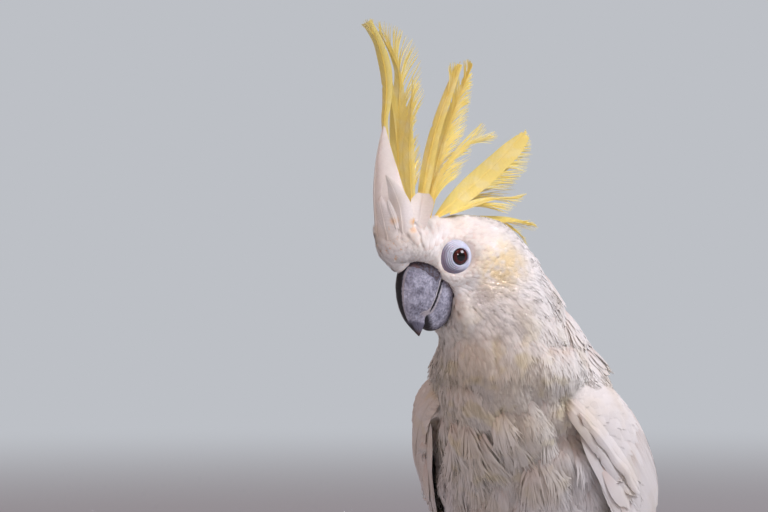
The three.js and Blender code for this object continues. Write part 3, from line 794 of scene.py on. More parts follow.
def planted(name, feet, kind, rng, material):
    """One piece of many small feathers, feet being what laid gives."""
    shapes = [tuft_shape(rng, *TUFTS[kind]) for _ in range(VARIANTS)]
    count = len(feet["half"])
    pick = rng.integers(0, VARIANTS, count)
    mirror = rng.choice((-1.0, 1.0), count)
    tone = rng.random(count)
    made, outward = [], []
    for k, (corners, tones, quads) in enumerate(shapes):
        own = np.flatnonzero(pick == k)
        x, v, h = corners.T
        shares = [w[:, None] for w in (1 - 3 * v + 2 * v * v, 4 * v - 4 * v * v, 2 * v * v - v)]
        a, b, c = (feet["line"][own][:, i, None] for i in range(3))
        n = sum(feet["normal"][own][:, i, None] * w for i, w in enumerate(shares))
        spot = sum(p * w for p, w in zip((a, b, c), shares))
        ahead = unit(a * (4 * v - 3)[:, None] + b * (4 - 8 * v)[:, None] + c * (4 * v - 1)[:, None])
        n = unit(n - ahead * dot(n, ahead))
        turn = mirror[own][:, None, None]
        side = np.cross(ahead, n) * turn
        half = feet["half"][own][:, None, None]
        high = feet["height"][own][:, None] * np.clip(v, 0, 1.2) ** 0.4
        place = spot + side * x[:, None] * half + n * (high[..., None] + h[:, None] * half)
        outward.append(unit(n + side * x[:, None] * 0.3 + ahead * (0.1 * v[:, None] - 0.05)).reshape(-1, 3))
        faces = np.where(turn > 0, quads, quads[:, ::-1]) + np.arange(len(own))[:, None, None] * len(x)
        run = np.linalg.norm(c - a, axis=-1) * v - np.abs(x) * feet["half"][own][:, None] * 1.2
        local = np.stack([x, 2 * v - 1], axis=1) * TUFT_SHARE
        made.append([
            place.reshape(-1, 3),
            faces.reshape(-1, 4),
            (0.5 * tone[own][:, None] + 0.5 * tones).ravel(),
            # The lie: 0 at the root, where the material paints shade, to 1 at the tip
            np.tile(np.clip(v, 0, 1), len(own)),
            (feet["patch"][own][:, None] + local).reshape(-1, 2),
            np.stack([run / MM * BARB_STEP, np.broadcast_to(np.abs(x), run.shape)], axis=-1).reshape(-1, 2),
        ])
    piece = array_piece(name, bundle(made), material, barbs=kind == "scale")
    piece.data.normals_split_custom_set_from_vertices(np.concatenate(outward))


def bundle(parts):
    """Several sets of the arrays that array_piece takes, joined into one."""
    starts = np.cumsum([0] + [len(part[0]) for part in parts])
    columns = [np.concatenate(column) for column in zip(*parts)]
    columns[1] = np.concatenate([part[1] + start for part, start in zip(parts, starts)])
    return columns


def array_piece(name, arrays, material, replaces=(), barbs=True):
    """A piece made of arrays: corners, faces of four, tones, lies, places on the skin's map, barb lines."""
    points, quads, tones, lies, patches, lines = arrays
    mesh = bpy.data.meshes.new(name)
    mesh.vertices.add(len(points))
    mesh.vertices.foreach_set("co", points.ravel())
    mesh.loops.add(quads.size)
    mesh.loops.foreach_set("vertex_index", quads.ravel())
    mesh.polygons.add(len(quads))
    mesh.polygons.foreach_set("loop_start", np.arange(0, quads.size, 4))
    mesh.update(calc_edges=True)
    for key, values in (("tone", tones), ("lie", lies)):
        mesh.attributes.new(key, "FLOAT", "POINT").data.foreach_set("value", values)
    for key, values in (("OFBake", patches), ("Barbs", lines))[: 1 + barbs]:
        mesh.uv_layers.new(name=key).uv.foreach_set("vector", values[quads.ravel()].ravel())
    return settle(name, mesh, material, replaces)


# Tiers of the front's plumage that overhang the one below: height above the floor, spread and lift in mm.
TIERS = ((190, 8, 4.0), (172, 6, 3.0), (156, 7, 4.8), (130, 8, 4.6), (108, 7, 3.5))


def tier_lift(points):
    """How much higher the tips of the feathers rooted at each place stand, in millimetres."""
    _, back, up = within(BIRD, points).T
    front = rise(5, -30, back)
    wave = 5 * wander(points, 30, 8)
    lift = sum(high * np.exp(-(((up + wave - level) / spread) ** 2)) for level, spread, high in TIERS)
    clear = rise(4, 26, nearest(tree_of(WINGS), points)[2])
    rough = (0.3 + 2.7 * front) * wander(points, 13, 9) * rise(60, 90, bill_distance(points))
    return (lift * front + rough) * clear


def feet_on_skin(tree, roots, normals, sizes, rng, fullness):
    """Lays feathers along the skin from their roots, and says where each lies and how high its tip stands."""
    length = sizes[:, LENGTH] * fullness * rng.uniform(0.86, 1.14, len(roots)) * MM
    line, upright = [roots], [normals]
    for _ in range(2):
        way = lie_of_coat(line[-1], upright[-1])
        spot, normal, _ = nearest(tree, line[-1] + way * length[:, None] / 2)
        line.append(spot)
        upright.append(unit(normal + upright[-1] * 0.5))
    along, angle, _ = spine_place(roots)
    height = (sizes[:, DEPTH] + sizes[:, LOOSE] * rng.normal(0, 0.5, len(roots)) + tier_lift(roots)) * MM
    height *= 0.35 + 0.65 * rise(0, 16, nearest(tree_of(WINGS), roots)[2])
    half = sizes[:, HALF] * rng.uniform(0.85, 1.15, len(roots)) * MM
    patch = (0.5 + angle / (2 * math.pi) * 0.97, 0.02 + 0.96 * along)
    return laid(line, upright, half, np.maximum(height, 0.2 * MM), patch)


def misses(tree, starts, ways, lengths):
    """Which rays hit nothing within their lengths."""
    return np.array([tree.ray_cast(Vector(start), Vector(way), length)[0] is None
                     for start, way, length in zip(starts, ways, lengths)])


COVERS = (*WINGS, "primaries_left", "primaries_right", "thigh_left", "thigh_right", "tail")
LOOKS_OUT = ((0, 0, 0), (0, -1.2, 0), (0.8, -0.6, 0), (-0.8, -0.6, 0), (0, -2, 0.8))
LOOK_START, LOOK_END = 5, 17  # from where off the skin to how far a place looks out, in millimetres


def uncovered(points, normals, straight):
    """Which places have no wing, thigh or tail lying close over them, seen straight out or from the front.

    Those marked straight are only seen straight out.
    """
    open_air = np.zeros(len(points), bool)
    for index, turn in enumerate(LOOKS_OUT):
        ways = unit(normals + np.array(turn))
        starts = points + normals * LOOK_START * MM
        seen = misses(tree_of(COVERS), starts, ways, [LOOK_END * MM] * len(points))
        open_air |= seen & ~(straight & (index > 0))
    return open_air


def clear_of_wings(feet):
    """Which feathers do not run through a wing on their way from root to tip."""
    keys = [feet["line"][:, i] + feet["normal"][:, i] * feet["height"][:, None] * share
            for i, share in enumerate((0, 0.75, 1))]
    clear = True
    for start, end in zip(keys, keys[1:]):
        ways = [Vector(way) for way in (end - start) * 1.2]
        lengths = [way.length for way in ways]
        clear = clear & misses(tree_of(WINGS), start, [way.normalized() for way in ways], lengths)
    return clear


# The coat's parts: the piece and its sort of tuft.
PARTS = (
    ("coat_face", "face"),
    ("coat_crown", "soft"),
    ("coat_neck", "hair"),
    ("coat_breast", "hair"),
    ("coat_back", "scale"),
    ("coat_legs", "hair"),
    ("coat_nape", "scale"),
)
FACE, CROWN, NECK, BREAST, BACK, LEGS, NAPE, NONE = range(8)
FACE_END = 44  # the face ends and the crown begins this far from the bill
HEAD_END = -58  # the head's plumage turns into the neck's at this height on the head
SHIN = 33  # feathers start this far above the floor
BARE_GAP = 1.1  # how far their roots keep from the bill and the bare skin


def coat_parts(points, normals):
    """Which of the coat's PARTS each place belongs to, or NONE."""
    zone = np.argmin(zone_distances(points), axis=1)
    left, back, up = within(BIRD, points).T
    head = zone == HEAD_ZONE
    inward = left * normals[:, 0] < np.abs(left) * 0.35
    part = np.full(len(points), BREAST)
    part[head] = np.where(bill_distance(points) < FACE_END, FACE, CROWN)[head]
    part[zone == NECK_ZONE] = NECK
    part[(zone == TRUNK_ZONE) & (back > 20 - (up - 120) * 0.45) & (up > 84)] = BACK
    part[zone == THIGH_ZONE] = LEGS
    part[(zone == WING_ZONE) & ~(inward & (up < 165))] = NONE
    part[(within(HEAD, points)[:, 2] < HEAD_END) & head] = NECK
    part[(part == NECK) & (normals[:, 1] > 0)] = NAPE
    part[(part == CROWN) & (normals[:, 1] > 0.2)] = NAPE
    return part


PLUMES = 32  # long soft feathers that hang over the rest of the breast


class COCKATOO_OT_coat(bpy.types.Operator):
    """Covers the skin with small feathers: fine on the face, hair-like on the breast and broad on the back"""

    bl_idname = "cockatoo.coat"
    bl_label = "Coat"

    def execute(self, context):
        looks = context.scene.cockatoo_plumage
        rng = np.random.default_rng(looks.seed)
        skin = bpy.data.objects["skin"].data
        bm = bmesh.new()
        bm.from_mesh(skin)
        tree = tree_from(bm)
        roots, normals = scattered(skin, rng)
        part = coat_parts(roots, normals)
        left, back, up = within(BIRD, roots).T
        flank = (part == BREAST) & (back < -4) & (up > 70) & (up < 150)
        straight = (part == BACK) | (part == NAPE) | ((up > 150) & (back > -35))
        seen = uncovered(roots, normals, straight) | (part == LEGS) | flank
        dressed = (eye_distance(roots) > EYE_RING + 0.4) & (nearest(tree_of(BARE), roots)[2] > BARE_GAP)
        fine = dressed & (part < NONE) & seen & (up >= SHIN)
        roots, normals, part, left, back, up = (a[fine] for a in (roots, normals, part, left, back, up))
        sizes = coat_sizes(roots)
        feet = feet_on_skin(tree, roots, normals, sizes, rng, looks.fullness)
        clear = clear_of_wings(feet)
        downy = feather_material("white contour feathers", white_markings, looks)
        sleek = feather_material("sleek white contour feathers", white_markings, looks, barbs=True)
        for index, (name, kind) in enumerate(PARTS):
            own = (part == index) & clear
            material = sleek if kind == "scale" else downy
            planted(name, {key: value[own] for key, value in feet.items()}, kind, rng, material)
        front = (part == BREAST) & (back < -35) & (np.abs(left) < 45) & (up > 92) & (up < 160)
        plumes = rng.choice(np.flatnonzero(front), PLUMES, replace=False)
        brows = [np.linalg.norm(roots - head_point(14, 16, 11 * sign), axis=1) for _, sign in SIDES]
        brow = np.flatnonzero(np.min(brows, axis=0) < 11 * MM)[::2]
        for name, own, kind, length, half, raised in (
            ("coat_plumes", plumes[clear[plumes]], "plume", 31, 9.0, 4.5),
            ("coat_brow", brow, "hair", 9, 2.2, 1.4),
        ):
            extra = sizes[own]
            extra[:, LENGTH], extra[:, HALF] = length, half
            extra[:, DEPTH] += raised
            feet = feet_on_skin(tree, roots[own], normals[own], extra, rng, looks.fullness)
            planted(name, feet, kind, rng, downy)
        return {"FINISHED"}


# ---------------------------------------------------------------- wings

# A folded wing from the shoulder to the tip: its back edge, its lower edge and how far it stands out
# between them, on the bird's left.
WING_BACK = ((34, -46, 174), (34, -28, 179), (32, 0, 172), (27, 27, 155), (21, 54, 130), (15, 82, 102),
             (10, 108, 79), (8, 132, 63), (9, 158, 49), (12, 186, 36))
WING_LOW = ((35, -56, 164), (43, -60, 153), (51, -49, 136), (60, -24, 109), (63, 8, 83), (53, 43, 64),
            (37, 78, 53), (27, 110, 45), (20, 144, 38), (15, 180, 32))
WING_BULGE = (5, 11, 20, 25, 25, 19, 11, 7, 3.5, 1)
WING_HELD_OUT = {"left": -2, "right": 6}


def wing_place(side, t, v):
    """Places on a folded wing's outer face, t from shoulder to tip and v from its back to its lower edge."""
    t, v = np.broadcast_arrays(np.asarray(t, float), np.asarray(v, float))
    sign, step = dict(SIDES)[side], 0.01
    edges = [np.array(keys) * (sign, 1, 1) for keys in (WING_BACK, WING_LOW)]
    back, low = (through(keys, t) for keys in edges)
    along = sum(through(keys, t + step) - through(keys, t - step) for keys in edges)
    out = unit(np.cross(unit(along), low - back)) * -sign
    bulge = series(WING_BULGE, t) + WING_HELD_OUT[side] * np.sin(np.pi * np.clip(t, 0, 1))
    arch = 4 * v * (1 - v)
    return moved(BIRD, (back + (low - back) * v[..., None] + out * (bulge * arch)[..., None]).reshape(-1, 3))


def wing_out(side, t, v):
    """The directions that face away from the bird on its folded wing."""
    step = 0.012
    ahead = wing_place(side, t + step, v) - wing_place(side, t - step, v)
    down = wing_place(side, t, v + step) - wing_place(side, t, v - step)
    return unit(np.cross(ahead, down)) * -dict(SIDES)[side]


# Rows of coverts: where they start and end along the wing, how far apart the rows and the feathers in a row
# are, and how far each reaches, all in shares, then half width and height in millimetres.
COVERTS = {
    "marginal": (-0.03, 0.07, 0.013, 0.066, 0.045, 3.6, 0.7),
    "lesser": (0.05, 0.24, 0.021, 0.08, 0.07, 5.2, 0.6),
    "median": (0.24, 0.37, 0.03, 0.09, 0.11, 7.4, 0.9),
}
WING_EDGES = (-0.14, 0.95)  # how far the coverts wrap over the wing's back and lower edges
ROOT_SINK = 1.2  # millimetres that a covert's root lies under the row before it


def covert_feet(side, rng, start, end, row, gap, far, half, height):
    """Lays one sort of coverts along a wing in staggered rows."""
    t, v = [], []
    for i, at in enumerate(np.arange(start, end, row)):
        places = np.arange(*WING_EDGES, gap) + gap / 2 * (i % 2)
        t.extend(np.full(len(places), at) + rng.normal(0, row * 0.14, len(places)))
        v.extend(places + rng.normal(0, gap * 0.08, len(places)))
    t, v = np.array(t), np.array(v)
    reach = far * rng.uniform(0.92, 1.08, len(t))
    line, upright = [], []
    for share in (0, 0.5, 1):
        at = (t + reach * share, v + 0.02 * share)
        upright.append(wing_out(side, *at))
        line.append(wing_place(side, *at) + upright[-1] * (share - 1) * ROOT_SINK * MM)
    halves = half * rng.uniform(0.9, 1.1, len(t)) * MM
    heights = height * rng.uniform(0.8, 1.15, len(t)) * MM
    patch = (0.1 + 0.75 * np.clip(v, -0.1, 1.1), 0.05 + 0.85 * np.clip(t, 0, 1))
    return laid(line, upright, halves, heights, patch)


SPLITS = 5  # places where the barbs of a flight feather part
KEYS = 9  # places that a flight feather's line goes through


def quill(line, normals, narrow, broad, cup, rng, index, count):
    """A flight feather along a line of places: a vane narrow on one side and broad on the other, and a shaft.

    Widths are lists of half widths in millimetres from root to tip. It is number index of count on the map.
    """
    length = np.linalg.norm(np.diff(line, axis=0), axis=1).sum() / MM
    notches = [(rng.uniform(0.35, 0.97), rng.choice((-1, 1)), rng.uniform(0.15, 0.5)) for _ in range(SPLITS)]
    tone = rng.uniform(0.3, 1)

    def place(u, v):
        x = 2 * u - 1
        wide = np.where(x < 0, series(narrow, v), series(broad, v))
        for at, side, deep in notches:
            cleft = np.exp(-(((v - at - 0.02 * np.abs(x)) / 0.006) ** 2))
            wide = wide * (1 - deep * cleft * (x * side > 0) * np.abs(x) ** 2)
        wide = np.maximum(wide, 0.15)
        slant = v + 0.05 * np.abs(x) * (1 - v) ** 0.5
        ahead = unit(through(line, slant + 0.01) - through(line, slant - 0.01))
        normal = through(normals, v)
        normal = unit(normal - ahead * dot(normal, ahead))
        high = 0.45 * np.exp(-((x / 0.09) ** 2)) * (1.1 - v) - cup * wide * x * x
        across = np.cross(ahead, normal) * (x * wide)[:, None] * MM
        return through(line, slant) + across + normal * high[:, None] * MM

    def notes(u, v):
        across = np.abs(2 * u - 1) * broad[len(broad) // 2]
        return {
            "Barbs": np.stack([(v * length - across * 1.3) * BARB_STEP, across * 0.1], axis=1),
            "OFBake": np.stack([(index + 0.05 + 0.9 * u) / count, 0.02 + 0.96 * v], axis=1),
            "tone": np.full(len(u), tone),
            # A lower lie, near the root, paints more shade
            "lie": 0.3 + 0.7 * v,
        }

    return surface(12, 54, place, notes=notes)


def wing_quill(side, root, tip, widths, height, rng, index, count, cup=0.1, ruffle=0):
    """A flight feather on a folded wing from root to tip, both [t, v], at a height above its face."""
    s = np.linspace(0, 1, KEYS)
    t, v, high = (start + (end - start) * s for start, end in (*zip(root, tip), height))
    normals = wing_out(side, t, v)
    line = wing_place(side, t, v) + normals * (high + ruffle * np.sin(s * 19))[:, None] * MM
    return quill(line, normals, *widths, cup, rng, index, count)


def widened(half, shares):
    """Half widths from root to tip, in shares of the widest."""
    return [half * share for share in shares]


ROUND = (0.35, 0.7, 0.92, 1, 1, 1, 0.97, 0.86, 0.12)  # parallel edges and a rounded end
SQUARE = (*ROUND[:-2], 0.8, 0.12)
POINTED = (0.5, 0.9, 1, 1, 0.95, 0.88, 0.76, 0.55, 0.1)
SMOOTH = (0.5, 0.8, 0.95, 1, 1, 1, 0.95, 0.8, 0.2)
RUFFLED = ((0.3, 0.7, 1.1, 0.8, 1.2, 0.85, 1.2, 0.9, 0.15), (0.3, 0.9, 0.8, 1.15, 0.8, 1.1, 0.8, 0.9, 0.15))

# Rows of long feathers on a wing: how many, the first one's root and tip as [t, v] and how far on the last
# one's are, the shape of the vane and its half widths on either side, and the first one's heights at the
# root and tip in millimetres and how much higher the last one's are.
FLIGHT = {
    "secondaries": (10, (0.3, -0.05), (0.06, 0.97), (0.62, 0.12), (0.17, 0.76), ROUND, (6.0, 11.5),
                    (0.4, 1.5), (-1.0, -1.2)),
    "primaries": (8, (0.48, 0.55), (0.03, 0.36), (0.82, 0.3), (0.17, 0.5), POINTED, (4.2, 7.5),
                  (-0.6, 0.4), (-0.6, -0.7)),
    "greaters": (13, (0.27, -0.1), (0.03, 0.98), (0.43, -0.02), (0.05, 0.9), ROUND, (5.5, 8.5),
                 (0.6, 2.5), (-0.5, -0.6)),
}


def flight_feathers(side, rng, count, root, root_run, tip, tip_run, shape, halves, height, height_run):
    """One row of long feathers on a wing, the top ones overlying those below."""
    widths = [widened(half, shape) for half in halves[:: dict(SIDES)[side]]]
    made = []
    for k in range(count):
        share = k / (count - 1)
        ends = [[a + b * share for a, b in zip(*pair)]
                for pair in ((root, root_run), (tip, tip_run), (height, height_run))]
        made.append(wing_quill(side, *ends[:2], widths, ends[2], rng, k, count))
    return joined(made)


# Feathers along a wing's front edge: root and tip as [t, v], half width, heights at the root and tip in
# millimetres, hollow, and how far the feather waves up and down. The last is on the left wing only.
BENDS = (
    ((0.0, 1.0), (0.40, 0.965), 4.2, (0.4, 0.6), 0.3, 0),
    ((0.03, 0.93), (0.37, 0.9), 4.4, (0.6, 1.6), 0.25, 0),
    ((0.11, 0.955), (0.375, 0.925), 3.0, (1.8, 2.6), 0.35, 0.7),
)
RIGHT_BEND_IN = 0.06  # how much further from the edge they lie on the right wing, as a share of its depth

# Broader feathers that turn in under a wing's front edge: root and tip as [t, v], and half width.
UNDERS = (
    ((0.16, 1.0), (0.4, 1.05), 5.0),
    ((0.24, 1.02), (0.5, 1.07), 6.0),
    ((0.32, 1.02), (0.6, 1.06), 6.5),
    ((0.4, 1.0), (0.7, 1.03), 6.5),
)


def bend_feathers(side, rng):
    """The smooth feathers along a folded wing's front edge, with one ruffled over them."""
    left = side == "left"
    made = []
    for k, (root, tip, half, high, cup, ruffle) in enumerate(BENDS if left else BENDS[:2]):
        root, tip = ((t, v - (0 if left else RIGHT_BEND_IN)) for t, v in (root, tip))
        widths = [widened(half, shape) for shape in (RUFFLED if ruffle else (SMOOTH, SMOOTH))]
        made.append(wing_quill(side, root, tip, widths, high, rng, k, len(BENDS), cup, ruffle))
    for k, (root, tip, half) in enumerate(UNDERS):
        made.append(wing_quill(side, root, tip, [widened(half, ROUND)] * 2, (-2, -1), rng, k, len(UNDERS)))
    return joined(made)


def wing_lining(side):
    """The downy sheet just under one wing's feathers, seen in any gap between them."""

    def place(u, v):
        t = -0.04 + 1.0 * v
        v = -0.06 + (1.05 - 0.1 * rise(0.45, 0.6, t)) * u
        deep = 0.9 + 0.6 * rise(0.3, 0.4, t) + 1.6 * rise(0.45, 0.6, t)
        return wing_place(side, t, v) - wing_out(side, t, v) * deep[:, None] * MM

    return surface(40, 90, place)


class COCKATOO_OT_wings(bpy.types.Operator):
    """Lays rows of coverts and the stacked flight feathers on both folded wings"""

    bl_idname = "cockatoo.wings"
    bl_label = "Wings"

    def execute(self, context):
        looks = context.scene.cockatoo_plumage
        rng = np.random.default_rng(looks.seed + 1)
        contour = feather_material("white covert feathers", white_markings, looks, barbs=True)
        flight = feather_material("white flight feathers", tail_markings, looks, 0.15, barbs=True)
        for side, _ in SIDES:
            for name, row in COVERTS.items():
                planted(f"coverts_{name}_{side}", covert_feet(side, rng, *row), "scale", rng, contour)
            settle(f"lining_{side}", wing_lining(side), bpy.data.materials["down over skin"])
            rows = {name: flight_feathers(side, rng, *row) for name, row in FLIGHT.items()}
            settle(f"coverts_greater_{side}", rows["greaters"], flight)
            settle(f"bend_{side}", bend_feathers(side, rng), contour)
            settle(f"secondaries_{side}", rows["secondaries"], flight)
            solid = [f"primaries_{side}"]
            settle(f"primaries_{side}_vanes", rows["primaries"], flight, solid)
        return {"FINISHED"}


# ---------------------------------------------------------------- tail

# From the rump to the tip: the middle line in the bird's frame, and the tail's half width.
TAIL_LINE = ((0, 92, 67), (0, 120, 54.5), (0, 150, 40.5), (0, 180, 26.5), (0, 206, 14), (0, 222, 6.5),
             (0, 235, 2.8), (0, 242, 2.0))
TAIL_HALF = (8, 15, 21, 26, 29.5, 31, 31, 31)
TAIL_FEATHERS = 12


class COCKATOO_OT_tail(bpy.types.Operator):
    """Lays the twelve tail feathers, the middle pair on top"""

    bl_idname = "cockatoo.tail"
    bl_label = "Tail"

    def execute(self, context):
        looks = context.scene.cockatoo_plumage
        rng = np.random.default_rng(looks.seed + 2)
        made = []
        for k in range(TAIL_FEATHERS):
            x = (2 * (k + 0.5) / TAIL_FEATHERS - 1) * 0.72
            s = np.linspace(0, 0.985 - 0.05 * abs(x), KEYS)
            line = through(TAIL_LINE, s)
            off = x * series(TAIL_HALF, s)
            line[:, 0] += off
            line[:, 2] += 1.6 - 3.0 * abs(x) - 5 * (1 - rise(0.55, 0.85, s)) * (off / 30) ** 2
            line[:, 2] = np.maximum(line[:, 2], 1.2 + 0.9 * (1 - abs(x)))
            normals = np.tile(unit((0.18 * x, 0.42, 0.9)), (KEYS, 1))
            widths = [widened(half, SQUARE) for half in ((9.5, 6.0) if x > 0 else (6.0, 9.5))]
            made.append(quill(moved(BIRD, line), normals, *widths, 0.05, rng, k, TAIL_FEATHERS))
        material = feather_material("white tail feathers", tail_markings, looks, 0.15, barbs=True)
        settle("tail_feathers", joined(made), material, ["tail"])
        return {"FINISHED"}


# ---------------------------------------------------------------- crest


class CrestSettings(bpy.types.PropertyGroup):
    """Colours of the crest."""

    yellow: tint("Yellow", "Colour of most of the crest", "#fdee94")
    gold: tint("Gold", "Deeper colour near the crown", "#f9dc68")
    pale: tint("Pale", "Lighter streaks", "#fdf6c4")
    # The depth colour is painted shade between the barbs and, as deep says, over whole feathers; it also lies
    # along the shafts
    depth: tint("Depth", "Colour along the shafts and between the barbs", "#ecc030")


